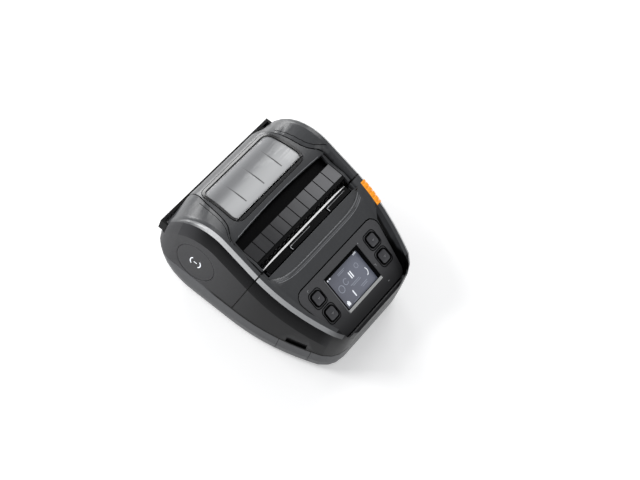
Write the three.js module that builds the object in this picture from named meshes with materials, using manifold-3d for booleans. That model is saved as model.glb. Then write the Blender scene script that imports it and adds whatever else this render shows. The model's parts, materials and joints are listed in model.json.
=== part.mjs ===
// A rugged portable label printer for four-inch labels, in millimetres.
// +X is the user's right, +Y the rear, +Z up; the origin is the middle of the base's footprint.
import * as THREE from "three";
import { mergeVertices } from "three/addons/utils/BufferGeometryUtils.js";
import Module from "manifold-3d";

const wasm = await Module();
wasm.setup();

// Overall size and general clearances
const width = 155;
const length = 178;
const height = 85;
const halfWidth = width / 2;
const halfLength = length / 2;
const barrelRadius = height / 2;
const barrelRunShare = 0.238764;
const barrelRun = barrelRunShare * length;
const platenYShare = 0.046067;
const platenZShare = 0.711765;
const platenY = platenYShare * length;
const platenZ = platenZShare * height;
const wall = 2.6;
const clear = 0.3;
const seam = 0.4;
const bandShare = 0.33;
const boreShare = 0.25;
const quarterShare = 0.25;
const switchCornerShare = 0.125;
const chipPitchShare = 1.5;
const bowPower = 6;
const overrun = 3;
const mergeShare = 0.001;
const fewSides = 12;
const someSides = 16;
const manySides = 28;
const mostSides = 48;

// Outer body
const rearBarThickness = 2.6;
const ridgeSlopeShare = 0.596824;
const ridgeSlope = (ridgeSlopeShare * height) / length;
const noseRun = 12;
const noseDropShare = 0.129412;
const noseDrop = noseDropShare * height;
const noseFloorRiseShare = 0.058824;
const noseFloorRise = noseFloorRiseShare * height;
const frontCornerRun = 12;
const frontCornerInsetShare = 0.090323;
const frontCornerInset = frontCornerInsetShare * width;
const frontTaperShare = 0.154839;
const frontTaper = frontTaperShare * width;
const rearShoulderRun = 16;
const rearShoulderInset = 5.5;
const bottomEdgeWidth = 9;
const bottomEdgeHeight = 12;
const bandDropShare = 0.2;
const bandDrop = bandDropShare * height;
const bandLean = 2.5;
const creaseDrop = 2.6;
const chamferWidth = 3;
const ridgeInsetShare = 0.06129;
const ridgeInset = ridgeInsetShare * width;
const fullSectionHeightShare = 0.588235;
const fullSectionHeight = fullSectionHeightShare * height;
const partingZShare = 0.264706;
const partingZ = partingZShare * height;
const seamTopYShare = -0.02809;
const seamTopY = seamTopYShare * length;
const seamTopZShare = 0.894118;
const seamTopZ = seamTopZShare * height;
const seamLean = 5;
const seamHeightShare = 0.376471;
const seamHeight = seamHeightShare * height;

// Cover
const coverCrownZShare = 0.941176;
const coverCrownZ = coverCrownZShare * height;
const coverCrownYShare = 0.27809;
const coverCrownY = coverCrownYShare * length;
const coverHalfRun = halfLength - rearBarThickness - seam - coverCrownY;
const coverRiseShare = 0.264706;
const coverRise = coverRiseShare * height;
const coverPower = 2.4;
const coverThickness = 2.4;
const coverStep = 0.8;
const coverStepIn = 0.9;
const armInset = 1.6;
const coverSkirtZShare = 0.745882;
const coverSkirtZ = coverSkirtZShare * height;
const coverHalfWidthShare = 0.425806;
const coverHalfWidth = coverHalfWidthShare * width;
const armWidth = 3.6;
const armFrontYAhead = 11;
const armFrontY = platenY - armFrontYAhead;
const armFrontZAbove = 9.7;
const armFrontZ = platenZ + armFrontZAbove;
const armDepth = 3.2;
const combRearYBehind = 11;
const combRearY = platenY + combRearYBehind;
const combHalfWidthShare = 0.396774;
const combHalfWidth = combHalfWidthShare * width;
const beamDepth = 5.5;
const beamThickness = 1.6;
const combThickness = 1.7;
const combRearZAbove = 12.9;
const combRearZ = platenZ + combRearZAbove;
const combFrontZAbove = 11.9;
const combFrontZ = platenZ + combFrontZAbove;
const combCells = 10;
const combGroove = 0.7;
const combGrooveDepth = 0.5;
const slotRearYShare = 0.157303;
const slotRearY = slotRearYShare * length;
const slotBow = 2.4;
const webGuideLap = 5;
const webGuideDrop = 3.8;
const webGuideThickness = 1.1;
const webGuideGap = 0.8;
const slotHalfWidthShare = 0.403871;
const slotHalfWidth = slotHalfWidthShare * width;
const windowFrontYShare = 0.213483;
const windowFrontY = windowFrontYShare * length;
const windowRearShare = 0.69863;
const windowRearY = coverCrownY + windowRearShare * coverHalfRun;
const windowHalfWidthShare = 0.3;
const windowHalfWidth = windowHalfWidthShare * width;
const windowRearHalfWidthShare = 0.280645;
const windowRearHalfWidth = windowRearHalfWidthShare * width;
const windowCorner = 6;
const windowThickness = 2;
const windowSink = 0.5;
const frameBorder = 2.6;
const frameProud = 0.5;

// Hinge and rear bar
const hingeInset = 6.5;
const hingeY = halfLength - hingeInset;
const hingeZShare = 0.676471;
const hingeZ = hingeZShare * height;
const hingePinRadius = 1.5;
const knuckleRadius = 3.1;
const knuckleWidth = 12;
const knuckleMiddleXShare = 0.167742;
const knuckleMiddleX = knuckleMiddleXShare * width;
const knuckleWebShare = 0.7;
const lugEndXShare = 0.282581;
const lugEndX = lugEndXShare * width;
const rearBarBottomZBelow = 12;
const rearBarBottomZ = hingeZ - rearBarBottomZBelow;
const rearBarTopZBelow = 2.3;
const rearBarTopZ = hingeZ - rearBarTopZBelow;
const rearBarHalfWidthShare = 0.480645;
const rearBarHalfWidth = rearBarHalfWidthShare * width;
const rearBarRibs = 8;
const rearBarRibHalfRunShare = 0.145161;
const rearBarRibHalfRun = rearBarRibHalfRunShare * width;
const rearBarRibWidth = 2.2;
const rearBarRibDepth = 0.8;
const rearBarEdge = 1;

// Platen and print head
const platenRadius = 7;
const platenHalfWidthShare = 0.348387;
const platenHalfWidth = platenHalfWidthShare * width;
const shaftRadius = 2.5;
const shaftRightXShare = 0.403871;
const shaftRightX = shaftRightXShare * width;
const bearingThickness = 2.5;
const bearingRadius = 4.6;
const carrierRearYBehind = 4.5;
const carrierRearY = platenY + carrierRearYBehind;
const carrierThickness = 2.4;
const carrierHalfWidthShare = 0.370968;
const carrierHalfWidth = carrierHalfWidthShare * width;
const headHalfWidthShare = 0.354839;
const headHalfWidth = headHalfWidthShare * width;
const headHeight = 9.6;
const headThickness = 2.6;
const bracketThickness = 2.8;
const bracketBottomZBelow = 13.5;
const bracketBottomZ = platenZ - bracketBottomZBelow;
const tearBarDepth = 2.4;
const tearBarThickness = 1.4;
const tearBarZAbove = 2.8;
const tearBarZ = platenZ + tearBarZAbove;
const tearBarHalfWidthShare = 0.387742;
const tearBarHalfWidth = tearBarHalfWidthShare * width;
const tearTeeth = 60;
const tearToothDepth = 0.35;
const stripDepth = 2.8;
const stripBottomZAbove = 6.7;
const stripBottomZ = platenZ + stripBottomZAbove;
const stripRearYAhead = 4;
const stripRearY = platenY - stripRearYAhead;
const stripToothHeight = 2.3;
const stripTeeth = 20;
const stripToothDepth = 1;
const springRadius = 3;
const springBore = 1.8;
const springXShare = 0.141935;
const springX = springXShare * width;
const springPlateYAhead = 20.2;
const springPlateY = platenY - springPlateYAhead;
const springPlateTopZBelow = 2;
const springPlateTopZ = platenZ - springPlateTopZBelow;
const springPlateBottomZBelow = 9.3;
const springPlateBottomZ = platenZ - springPlateBottomZBelow;
const springZBelow = 5.5;
const springZ = platenZ - springZBelow;
const springPlateThickness = 2;

// Side frames of the print mechanism
const frameXShare = 0.378065;
const frameX = frameXShare * width;
const framePlate = 1.5;
const frameRearYBehind = 11.8;
const frameRearY = platenY + frameRearYBehind;
const frameFrontYAhead = 28.2;
const frameFrontY = platenY - frameFrontYAhead;
const frameTopZAbove = 6.1;
const frameTopZ = platenZ + frameTopZAbove;
const frameSeatZAbove = 2.4;
const frameSeatZ = platenZ + frameSeatZAbove;

// Gear train, module and tooth counts
const gearModule = 1.2;
const platenTeeth = 12;
const idlerTeeth = 20;
const pinionTeeth = 10;
const gearWidth = 2.8;
const gearXShare = 0.403226;
const gearX = gearXShare * width;
const toothRootShare = 0.29;
const toothTipShare = 0.12;
const toothRiseShare = 0.95;
const toothDropShare = 1.2;
const idlerYAhead = 6;
const idlerY = platenY - idlerYAhead;
const pinionYAhead = 17.7;
const pinionY = idlerY - pinionYAhead;
const motorRoomShare = 0.965742;
const motorLength = 21;
const motorShaftRadius = 1.5;
const idlerAxleRadius = 2;
const meshClear = 0.12;
const shaftOverhang = 0.9;

// Latch
const latchShaftYAhead = 1.7;
const latchShaftY = platenY - latchShaftYAhead;
const latchShaftZBelow = 14;
const latchShaftZ = platenZ - latchShaftZBelow;
const latchShaftRadius = 2;
const hookThickness = 1.5;
const hookWidth = 3.8;
const hookTopZAbove = 5.5;
const hookTopZ = platenZ + hookTopZAbove;
const hookGap = 1.1;
const leverWidth = 3;
const hookHubRadius = 3.6;
const latchRearYShare = -0.061798;
const latchRearY = latchRearYShare * length;
const latchFrontYShare = -0.185393;
const latchFrontY = latchFrontYShare * length;
const latchHeight = 13;
const latchThickness = 3;
const latchProud = 0.6;
const latchTopWidth = 3.6;
const latchRibs = 4;
const latchRibWidth = 1.6;
const latchRibDepth = 0.4;
const latchStemDrop = 9;
const latchHookDrop = 12;
const latchStemReach = 9;
const latchStemInset = 2;
const latchStemWidth = 5;
const latchStemThickness = 3;

// Peeler flap
const peelerPivotYAhead = 15.8;
const peelerPivotY = platenY - peelerPivotYAhead;
const peelerPivotZAbove = 4.5;
const peelerPivotZ = platenZ + peelerPivotZAbove;
const peelerReach = 4.9;
const peelerThickness = 3;
const peelerHalfWidthShare = 0.375484;
const peelerHalfWidth = peelerHalfWidthShare * width;
const peelerPinRadius = 1;
const peelerBarrel = 3;
const peelerBreakXShare = 0.172903;
const peelerBreakX = peelerBreakXShare * width;
const peelerBreakWidth = 2.4;
const peelerBreakDepth = 0.8;
const exitFrontYAhead = 17.9;
const exitFrontY = platenY - exitFrontYAhead;
const exitHalfWidthShare = 0.403226;
const exitHalfWidth = exitHalfWidthShare * width;
const exitTrayZBelow = 0.1;
const exitTrayZ = platenZ - exitTrayZBelow;
const exitTrayThickness = 1.6;
const railWall = 1.6;

// Front deck and control panel
const deckRearZAbove = 8;
const deckRearZ = platenZ + deckRearZAbove;
const lipYShare = -0.123596;
const lipY = lipYShare * length;
const lipZAbove = 4.5;
const lipZ = platenZ + lipZAbove;
const deckRecess = 1;
const deckCornerXShare = 0.416129;
const deckCornerX = deckCornerXShare * width;
const deckLipYShare = -0.110674;
const deckLipY = deckLipYShare * length;
const deckRearShare = 0.85;
const panelRearYShare = -0.196629;
const panelRearY = panelRearYShare * length;
const panelRearZShare = 0.703529;
const panelRearZ = panelRearZShare * height;
const panelSlopeShare = 0.858588;
const panelSlope = (panelSlopeShare * height) / length;
const panelFrontYShare = -0.474719;
const panelFrontY = panelFrontYShare * length;
const panelRearHalfWidthShare = 0.377419;
const panelRearHalfWidth = panelRearHalfWidthShare * width;
const panelFrontHalfWidthShare = 0.296774;
const panelFrontHalfWidth = panelFrontHalfWidthShare * width;
const panelCorner = 8;
const panelThickness = 1.8;
const panelGroove = 1.2;
const panelLedge = 2.6;
const panelLedgeThickness = 2;
const displayWidthShare = 0.322581;
const displayWidth = displayWidthShare * width;
const displayDepthShare = 0.202247;
const displayDepth = displayDepthShare * length;
const displayMiddleYShare = -0.326966;
const displayMiddleY = displayMiddleYShare * length;
const bezelWidth = 2.6;
const bezelThickness = 2.4;
const glassThickness = 1;
const moduleThickness = 2.4;
const boardThickness = 1.6;
const keySizeShare = 0.067416;
const keySize = keySizeShare * length;
const keyCorner = 3.1;
const keyProud = 1.6;
const keyTravel = 1;
const keyFlange = 1;
const keyFlangeThickness = 1.2;
const rearKeyXShare = 0.259355;
const rearKeyX = rearKeyXShare * width;
const frontKeyXShare = 0.250968;
const frontKeyX = frontKeyXShare * width;
const rearKeyYShare = -0.270225;
const rearKeyY = rearKeyYShare * length;
const frontKeyYShare = -0.356742;
const frontKeyY = frontKeyYShare * length;
const switchSize = 4;

// Label roll and its guides
const rollRadiusShare = 0.682353;
const rollRadius = rollRadiusShare * Math.min(barrelRun, barrelRadius);
const rollHalfWidthShare = 0.322581;
const rollHalfWidth = rollHalfWidthShare * width;
const coreRadius = 12.5;
const coreBore = 9.5;
const guideThickness = 2.5;
const guideRadiusShare = 0.564706;
const guideRadius = guideRadiusShare * Math.min(barrelRun, barrelRadius);
const guideHubLength = 7;
const guideArmWidth = 8;
const rackPitch = 2.4;
const rackY = 14;
const rackZ = 13;
const rackDepth = 5;
const rackHeight = 2.5;
const rackReach = 14;
const rackModule = rackPitch / Math.PI;
const guidePinionTeeth = 10;
const rackPitchRadius = (rackModule * guidePinionTeeth) / 2;
const pinionPost = 2.7;
const bayWallXShare = 0.393548;
const bayWallX = bayWallXShare * width;
const bayWall = 1.6;
const bayWallFrontYShare = 0.176966;
const bayWallFrontY = bayWallFrontYShare * length;

// Base, battery and ports
const batteryHalfWidthShare = 0.245161;
const batteryHalfWidth = batteryHalfWidthShare * width;
const batteryRearYShare = -0.039326;
const batteryRearY = batteryRearYShare * length;
const batteryFrontYShare = -0.426966;
const batteryFrontY = batteryFrontYShare * length;
const batteryBottomZ = 0.4;
const batteryTopZShare = 0.230588;
const batteryTopZ = batteryTopZShare * height;
const batteryWall = 1.6;
const boardFrontYShare = -0.41573;
const boardFrontY = boardFrontYShare * length;
const boardRearYShare = -0.162921;
const boardRearY = boardRearYShare * length;
const boardHalfWidthShare = 0.309677;
const boardHalfWidth = boardHalfWidthShare * width;
const batteryLatchWidth = 16;
const batteryLatchDepth = 5;
const batteryLatchTravel = 3;
const portRearYShare = -0.235955;
const portRearY = portRearYShare * length;
const portFrontYShare = -0.38764;
const portFrontY = portFrontYShare * length;
const portBottomZ = 4.4;
const portHingeInset = 1.3;
const portRecess = 5.5;
const socketLengthShare = 0.78636;
const socketWidth = 20;
const socketHeight = 13.5;
const socketDepth = 7;
const jackRadius = 1.9;
const jackOffset = 5;
const usbWidth = 8.4;
const usbHeight = 2.8;
const notchWidth = 18;
const notchHeight = 6.5;
const notchDepth = 1.6;
const chipWidth = 14;
const chipHeight = 2;
const screwHeadRadius = 2.6;
const screwHeadHeight = 2;
const screwRadius = 1.4;
const screwLength = 9;
const screwSink = 0.4;
const postRadius = 4.4;
const postHeight = 11.5;
const screwFrontXShare = 0.309677;
const screwFrontX = screwFrontXShare * width;
const screwFrontYShare = -0.404494;
const screwFrontY = screwFrontYShare * length;
const screwRearXShare = 0.4;
const screwRearX = screwRearXShare * width;
const screwRearYShare = 0.191011;
const screwRearY = screwRearYShare * length;
const bossYShare = 0.264045;
const bossY = bossYShare * length;
const bossZShare = 0.494118;
const bossZ = bossZShare * height;
const bossCapRadiusShare = 0.435294;
const bossCapRadius = bossCapRadiusShare * Math.min(barrelRun, barrelRadius);
const bossCapThickness = 1.5;

const rollY = halfLength - rearBarThickness - seam - barrelRun;
const rollZ = barrelRadius;
const ridgeAngle = Math.atan((ridgeSlope * barrelRun) / barrelRadius);
const tangentY = rollY - barrelRun * Math.sin(ridgeAngle);
const tangentZ = rollZ + barrelRadius * Math.cos(ridgeAngle);
const panelAngle = Math.atan(panelSlope);

// Materials
function material(color, roughness, metalness = 0) {
  return new THREE.MeshStandardMaterial({ color, roughness, metalness });
}
const charcoal = () => material(0x3c3d40, 0.5);
const blackPlastic = () => material(0x141416, 0.45);
const rubber = () => material(0x1d1d1f, 0.85);
const steel = () => material(0xb9bcc0, 0.3, 1);
const darkSteel = () => material(0x5b5e63, 0.4, 1);
const boardGreen = () => material(0x1f5a3a, 0.6);
const whitePlastic = () => material(0xe3e3e0, 0.6);
const orange = () => material(0xff9a1e, 0.45);

// Solids from closed geometries, to be joined and cut
function solid(geometry) {
  const bare = geometry.index ? geometry.toNonIndexed() : geometry.clone();
  bare.deleteAttribute("normal");
  bare.deleteAttribute("uv");
  const merged = mergeVertices(bare, clear * mergeShare);
  return new wasm.Manifold(
    new wasm.Mesh({
      numProp: 3,
      vertProperties: merged.attributes.position.array,
      triVerts: new Uint32Array(merged.index.array),
    }),
  );
}

function geometryOf(made) {
  const mesh = made.getMesh();
  const geometry = new THREE.BufferGeometry();
  geometry.setAttribute("position", new THREE.BufferAttribute(mesh.vertProperties, 3));
  geometry.setIndex(new THREE.BufferAttribute(mesh.triVerts, 1));
  return geometry;
}

function union(...made) {
  return made.reduce((sum, next) => sum.add(next));
}

function cut(made, ...cutters) {
  return cutters.reduce((rest, cutter) => rest.subtract(cutter), made);
}

function box(x0, x1, y0, y1, z0, z1) {
  const geometry = new THREE.BoxGeometry(x1 - x0, y1 - y0, z1 - z0);
  return solid(geometry.translate((x0 + x1) / 2, (y0 + y1) / 2, (z0 + z1) / 2));
}

// The same box on the right and on the left
function bothSides(x0, x1, y0, y1, z0, z1) {
  return [box(x0, x1, y0, y1, z0, z1), box(-x1, -x0, y0, y1, z0, z1)];
}

function extrusion(points, depth) {
  const shape = new THREE.Shape(points.map(([u, v]) => new THREE.Vector2(u, v)));
  return new THREE.ExtrudeGeometry(shape, { depth, bevelEnabled: false });
}

// An outline in Y and Z, drawn out along X
const sideways = new THREE.Matrix4().makeBasis(
  new THREE.Vector3(0, 1, 0),
  new THREE.Vector3(0, 0, 1),
  new THREE.Vector3(1, 0, 0),
);
function extrudeX(points, x0, x1) {
  return solid(extrusion(points, x1 - x0).applyMatrix4(sideways).translate(x0, 0, 0));
}

// An outline in X and Y, drawn out along Z
function extrudeZ(points, z0, z1) {
  return solid(extrusion(points, z1 - z0).translate(0, 0, z0));
}

function rodX(y, z, radius, x0, x1, sides = someSides) {
  const rod = new THREE.CylinderGeometry(radius, radius, x1 - x0, sides);
  return solid(rod.rotateZ(Math.PI / 2).translate((x0 + x1) / 2, y, z));
}

function rodY(x, z, radius, y0, y1, sides = someSides) {
  const rod = new THREE.CylinderGeometry(radius, radius, y1 - y0, sides);
  return solid(rod.translate(x, (y0 + y1) / 2, z));
}

function rodZ(x, y, radius, z0, z1, sides = fewSides) {
  const rod = new THREE.CylinderGeometry(radius, radius, z1 - z0, sides);
  return solid(rod.rotateX(Math.PI / 2).translate(x, y, (z0 + z1) / 2));
}

// A closed body through rings of as many points each, laid one after another along +Y
function loft(rings) {
  const count = rings[0].length;
  const positions = rings.flat(2);
  const index = [];
  for (let r = 0; r + 1 < rings.length; r += 1) {
    for (let i = 0; i < count; i += 1) {
      const a = r * count + i;
      const b = r * count + ((i + 1) % count);
      index.push(a, a + count, b, b, a + count, b + count);
    }
  }
  for (const [r, flip] of [
    [0, false],
    [rings.length - 1, true],
  ]) {
    const ring = rings[r].map(([x, , z]) => new THREE.Vector2(x, z));
    for (const face of THREE.ShapeUtils.triangulateShape(ring, [])) {
      const [a, b, c] = face.map((i) => r * count + i);
      index.push(...(flip ? [a, c, b] : [a, b, c]));
    }
  }
  const geometry = new THREE.BufferGeometry();
  geometry.setAttribute("position", new THREE.Float32BufferAttribute(positions, 3));
  geometry.setIndex(index);
  return solid(geometry);
}

// The quarter ellipse from 0 to 1 that rounds an end
function roundOff(distance, run) {
  const share = THREE.MathUtils.clamp(1 - distance / run, 0, 1);
  return 1 - Math.sqrt(1 - share * share);
}

function along(table, y) {
  const last = table.length - 1;
  if (y <= table[0][0]) return table[0][1];
  if (y >= table[last][0]) return table[last][1];
  const next = table.findIndex(([at]) => at > y);
  const [y0, v0] = table[next - 1];
  const [y1, v1] = table[next];
  return v0 + ((v1 - v0) * (y - y0)) / (y1 - y0);
}

// Height of the two side ridges over the barrel and down to the nose
function ridgeZ(y) {
  const reach = Math.min(Math.abs(y - rollY) / barrelRun, 1);
  if (y > tangentY) return rollZ + barrelRadius * Math.sqrt(1 - reach ** 2);
  const line = tangentZ - ridgeSlope * (tangentY - y);
  return line - noseDrop * roundOff(y + halfLength, noseRun);
}

function floorZ(y) {
  if (y < rollY) return noseFloorRise * roundOff(y + halfLength, noseRun);
  return rollZ - barrelRadius * Math.sqrt(1 - Math.min((y - rollY) / barrelRun, 1) ** 2);
}

function sideX(y) {
  const taper = y < 0 ? frontTaper * (y / halfLength) ** 2 : 0;
  const corner = frontCornerInset * roundOff(y + halfLength, frontCornerRun);
  const rear = rollY + barrelRun;
  return halfWidth - taper - corner - rearShoulderInset * roundOff(rear - y, rearShoulderRun);
}

// Crown of the cover along Y, or of its inside, drawn in by inset
function coverZ(y, inset = 0) {
  const share = Math.min(Math.abs(y - coverCrownY) / (coverHalfRun - inset), 1);
  const rise = coverRise - inset;
  return coverCrownZ - coverRise + rise * (1 - share ** coverPower) ** (1 / coverPower);
}

function panelZ(y) {
  return panelRearZ + panelSlope * (y - panelRearY);
}

function crownZ(y) {
  if (y > slotRearY) return coverZ(y);
  const profile = [
    [panelFrontY, panelZ(panelFrontY)],
    [panelRearY, panelRearZ],
    [lipY, lipZ],
    [seamTopY, deckRearZ],
    [slotRearY, coverZ(slotRearY)],
  ];
  const level = y < panelFrontY ? panelZ(y) : along(profile, y);
  return Math.min(level, ridgeZ(y) - seam);
}

// Half width of the cover's outline, as shares of the body's half length and half width
const coverOutlineShares = [
  [0.2, 0.852],
  [0.28, 0.848],
  [0.35, 0.822],
  [0.4, 0.775],
  [0.46, 0.72],
  [0.54, 0.69],
  [0.65, 0.67],
  [0.76, 0.643],
  [0.86, 0.595],
  [0.93, 0.57],
];
const coverOutline = new THREE.SplineCurve(
  coverOutlineShares.map(([y, x]) => new THREE.Vector2(y * halfLength, x * halfWidth)),
)
  .getPoints(coverOutlineShares.length * 2)
  .map((point) => [point.x, point.y]);

// Where the raised rails end on the inside: at the cover, and around the control panel
function innerX(y) {
  if (y > coverOutline[0][0]) return along(coverOutline, y);
  const inside = [
    [-halfLength, panelFrontHalfWidth],
    [panelFrontY, panelFrontHalfWidth + panelGroove],
    [panelRearY, panelRearHalfWidth + panelGroove],
    [exitFrontY, exitHalfWidth],
    [seamTopY, coverHalfWidth],
  ];
  return Math.min(along(inside, y), sideX(y) - ridgeInset - seam);
}

// One cross-section of the outer body, drawn in by inset
const bottomTurns = [0, 30, 60, 90];
function section(y, inset) {
  const side = sideX(y) - inset;
  const top = ridgeZ(y) - inset;
  const floor = floorZ(y) + inset;
  const scale = Math.min(1, (top - floor) / fullSectionHeight);
  const half = [[0, floor]];
  for (const turn of bottomTurns.map(THREE.MathUtils.degToRad)) {
    const inward = bottomEdgeWidth * scale * (1 - Math.sin(turn));
    half.push([side - inward, floor + bottomEdgeHeight * scale * (1 - Math.cos(turn))]);
  }
  half.push([side, top - bandDrop * scale]);
  half.push([side - bandLean * bandShare, top - (bandDrop * scale) / 2]);
  half.push([side - bandLean, top - creaseDrop * scale]);
  half.push([side - bandLean - chamferWidth, top]);
  const ridgeX = Math.min(sideX(y) - ridgeInset + inset, side - bandLean - chamferWidth - seam);
  half.push([ridgeX, top]);
  half.push([Math.min(innerX(y) + inset, ridgeX - seam), crownZ(y) - inset]);
  const left = half.slice(1).map(([x, z]) => [-x, z]);
  const ring = [...half, [0, crownZ(y) - inset], ...left.reverse()];
  return ring.map(([x, z]) => [x, y, z]);
}

// Stations along Y, closer together where the body curves
const stationShares = [
  0, 0.02, 0.06, 0.13, 0.2, 0.3, 0.42, 0.55, 0.66, 0.76, 0.85, 0.94, 1.05, 1.16, 1.27, 1.31, 1.35,
  1.4, 1.46, 1.54, 1.62, 1.7, 1.78, 1.85, 1.9, 1.94, 1.96,
];
function body(inset) {
  const front = -halfLength + inset;
  const rear = rollY + barrelRun * Math.cos(Math.asin(knuckleRadius / barrelRadius)) - inset;
  const run = (rear - front) / stationShares[stationShares.length - 1];
  return loft(stationShares.map((share) => section(front + share * run, inset)));
}

const outer = body(0);
const inner = body(wall);
const far = length;

// Everything behind, or in front of, the slanted seam between the two upper mouldings
function behindSeam(shift) {
  const lean = seamLean / seamHeight;
  const lineY = (z) => seamTopY + (seamTopZ - z) * lean + shift;
  return extrudeX(
    [
      [lineY(-far), -far],
      [far, -far],
      [far, far],
      [lineY(far), far],
    ],
    -far,
    far,
  );
}

function above(z) {
  return box(-far, far, -far, far, z, far);
}

// The cover's outline in plan, grown by margin, from y0 to the rear
function coverPlan(margin, y0, y1 = far) {
  const right = coverOutline.filter(([y]) => y > y0 && y < y1).map(([y, x]) => [x + margin, y]);
  const start = [coverHalfWidth + margin, y0];
  const end = [right[right.length - 1][0], Math.min(y1, hingeY + overrun * 2)];
  const side = [start, ...right, end];
  return [...side, ...side.map(([x, y]) => [-x, y]).reverse()];
}

// What lies between two heights that change along Y, with more steps near both ends
function between(lower, upper, y0, y1, steps = manySides) {
  const top = [];
  const bottom = [];
  for (let i = 0; i <= steps; i += 1) {
    const y = y0 + ((y1 - y0) * (1 - Math.cos((Math.PI * i) / steps))) / 2;
    top.push([y, upper(y)]);
    bottom.push([y, lower(y)]);
  }
  return extrudeX([...bottom, ...top.reverse()], -halfWidth, halfWidth);
}

// A rounded outline in X and Y from its corners, each with the same radius
function rounded(corners, radius, steps = 4) {
  const points = [];
  corners.forEach(([x, y], i) => {
    const before = corners[(i + corners.length - 1) % corners.length];
    const after = corners[(i + 1) % corners.length];
    const here = new THREE.Vector2(x, y);
    const back = new THREE.Vector2(...before).sub(here).normalize();
    const ahead = new THREE.Vector2(...after).sub(here).normalize();
    const half = back.angleTo(ahead) / 2;
    const reach = radius / Math.tan(half);
    const middle = back.clone().add(ahead).normalize().multiplyScalar(radius / Math.sin(half));
    const centre = here.clone().add(middle);
    const from = back.multiplyScalar(reach).add(here).sub(centre);
    const to = ahead.multiplyScalar(reach).add(here).sub(centre);
    const sweep = Math.atan2(from.cross(to), from.dot(to));
    for (let s = 0; s <= steps; s += 1) {
      const point = from.clone().rotateAround(new THREE.Vector2(), (sweep * s) / steps);
      points.push([point.x + centre.x, point.y + centre.y]);
    }
  });
  return points;
}

function windowPlan(margin) {
  const front = windowFrontY - margin;
  const rear = windowRearY + margin;
  const corners = [
    [windowHalfWidth + margin, front],
    [windowRearHalfWidth + margin, rear],
    [-windowRearHalfWidth - margin, rear],
    [-windowHalfWidth - margin, front],
  ];
  return rounded(corners, windowCorner + margin);
}

const root = new THREE.Group();

function add(name, made, finish, parent = root) {
  const mesh = new THREE.Mesh(geometryOf(made), finish);
  mesh.name = name;
  parent.add(mesh);
  return mesh;
}

// Housing mouldings
const shell = cut(outer, inner);
const openingBottomZ = hingeZ - knuckleRadius - 2 * seam;
const seatInside = partingZ + seam / 2;

// Hinge barrels of the housing, beside and between the cover's two knuckles
function lugs() {
  const inside = knuckleMiddleX - knuckleWidth / 2 - clear;
  const outside = knuckleMiddleX + knuckleWidth / 2 + clear;
  const spans = [[-inside, inside], [outside, lugEndX], [-lugEndX, -outside]];
  return union(
    ...spans.flatMap(([x0, x1]) => [
      box(x0, x1, hingeY - knuckleRadius, hingeY + knuckleRadius / 2, rearBarBottomZ, hingeZ),
      rodX(hingeY, hingeZ, knuckleRadius, x0, x1),
    ]),
  );
}

function bayWalls() {
  const profile = [];
  const steps = fewSides;
  for (let i = 0; i <= steps; i += 1) {
    const y = bayWallFrontY + ((hingeY - wall - bayWallFrontY) * i) / steps;
    const crown = crownZ(y) - coverThickness - 2 * seam;
    profile.push([y, Math.min(crown, ridgeZ(y) - wall / 2)]);
  }
  const outline = [[hingeY - wall, seatInside], [bayWallFrontY, seatInside], ...profile];
  const right = extrudeX(outline.reverse(), bayWallX, bayWallX + bayWall);
  const left = extrudeX(outline, -bayWallX - bayWall, -bayWallX);
  return union(right, left).intersect(body(wall / 2));
}

function railWalls() {
  const x0 = coverHalfWidth + 2 * seam;
  const plates = bothSides(x0, x0 + railWall, seamTopY - seamLean, slotRearY, platenZ - platenRadius, far);
  return union(...plates).intersect(body(seam));
}

function rearHousing() {
  const plan = coverPlan(seam, exitFrontY);
  const slab = extrudeZ(plan, openingBottomZ, far);
  const opening = union(slab, slab.translate(0, 2 * clear, 0));
  const hookX = rearBarHalfWidth - wall - 2 * seam;
  const hookZ = [rearBarBottomZ - 2 * seam, rearBarTopZ + 2 * seam];
  const notches = bothSides(hookX, far, hingeY - 2 * seam, far, ...hookZ);
  const upper = cut(union(shell, railWalls()), opening);
  const whole = union(upper, bayWalls(), lugs());
  const kept = whole.intersect(above(seatInside)).intersect(behindSeam(seam / 2));
  const bore = rodX(hingeY, hingeZ, hingePinRadius + clear, -lugEndX - clear, lugEndX + clear);
  const capDepth = halfWidth - bossCapThickness - clear;
  const caps = [[capDepth, far], [-far, -capDepth]].map(([x0, x1]) =>
    rodX(bossY, bossZ, bossCapRadius + clear, x0, x1, manySides),
  );
  return cut(kept, bore, ...notches, ...caps);
}

// The button's well follows the right rail: its walls run down and in at 45 degrees
function latchWell(margin, reach) {
  const ring = (y) => {
    const top = ridgeZ(y);
    const edge = sideX(y) - bandLean - chamferWidth - latchTopWidth - margin;
    const low = top - latchHeight - margin;
    return [
      [edge + reach, y, top + reach],
      [edge - reach, y, top - reach],
      [sideX(y) - reach, y, low - reach],
      [sideX(y) + reach, y, low + reach],
    ];
  };
  const front = latchFrontY - margin;
  const rear = latchRearY + margin;
  return loft([front, (front + rear) / 2, rear].map(ring));
}

function latchButton() {
  const skin = cut(body(-latchProud), body(latchThickness));
  const stemZ = ridgeZ(latchRearY) - latchStemDrop;
  const stemX = sideX(latchRearY) - latchThickness;
  const stemY = latchRearY - latchStemInset;
  const stem = box(
    stemX - latchStemReach,
    stemX,
    stemY - latchStemWidth,
    stemY,
    stemZ - latchStemThickness,
    stemZ,
  );
  let button = skin.intersect(latchWell(0, latchThickness + clear));
  const pitch = (latchRearY - latchFrontY) / (latchRibs + 1);
  for (let i = 0; i <= latchRibs; i += 1) {
    const y = latchFrontY + pitch * (i + 0.5);
    const groove = latchRibWidth / 2;
    const band = box(0, far, y - groove, y + groove, 0, far);
    button = cut(button, cut(band, body(latchRibDepth - latchProud)));
  }
  return union(button, stem);
}

function exitCut() {
  return box(-exitHalfWidth, exitHalfWidth, exitFrontY, far, exitTrayZ - railWall * 2, far);
}

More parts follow.
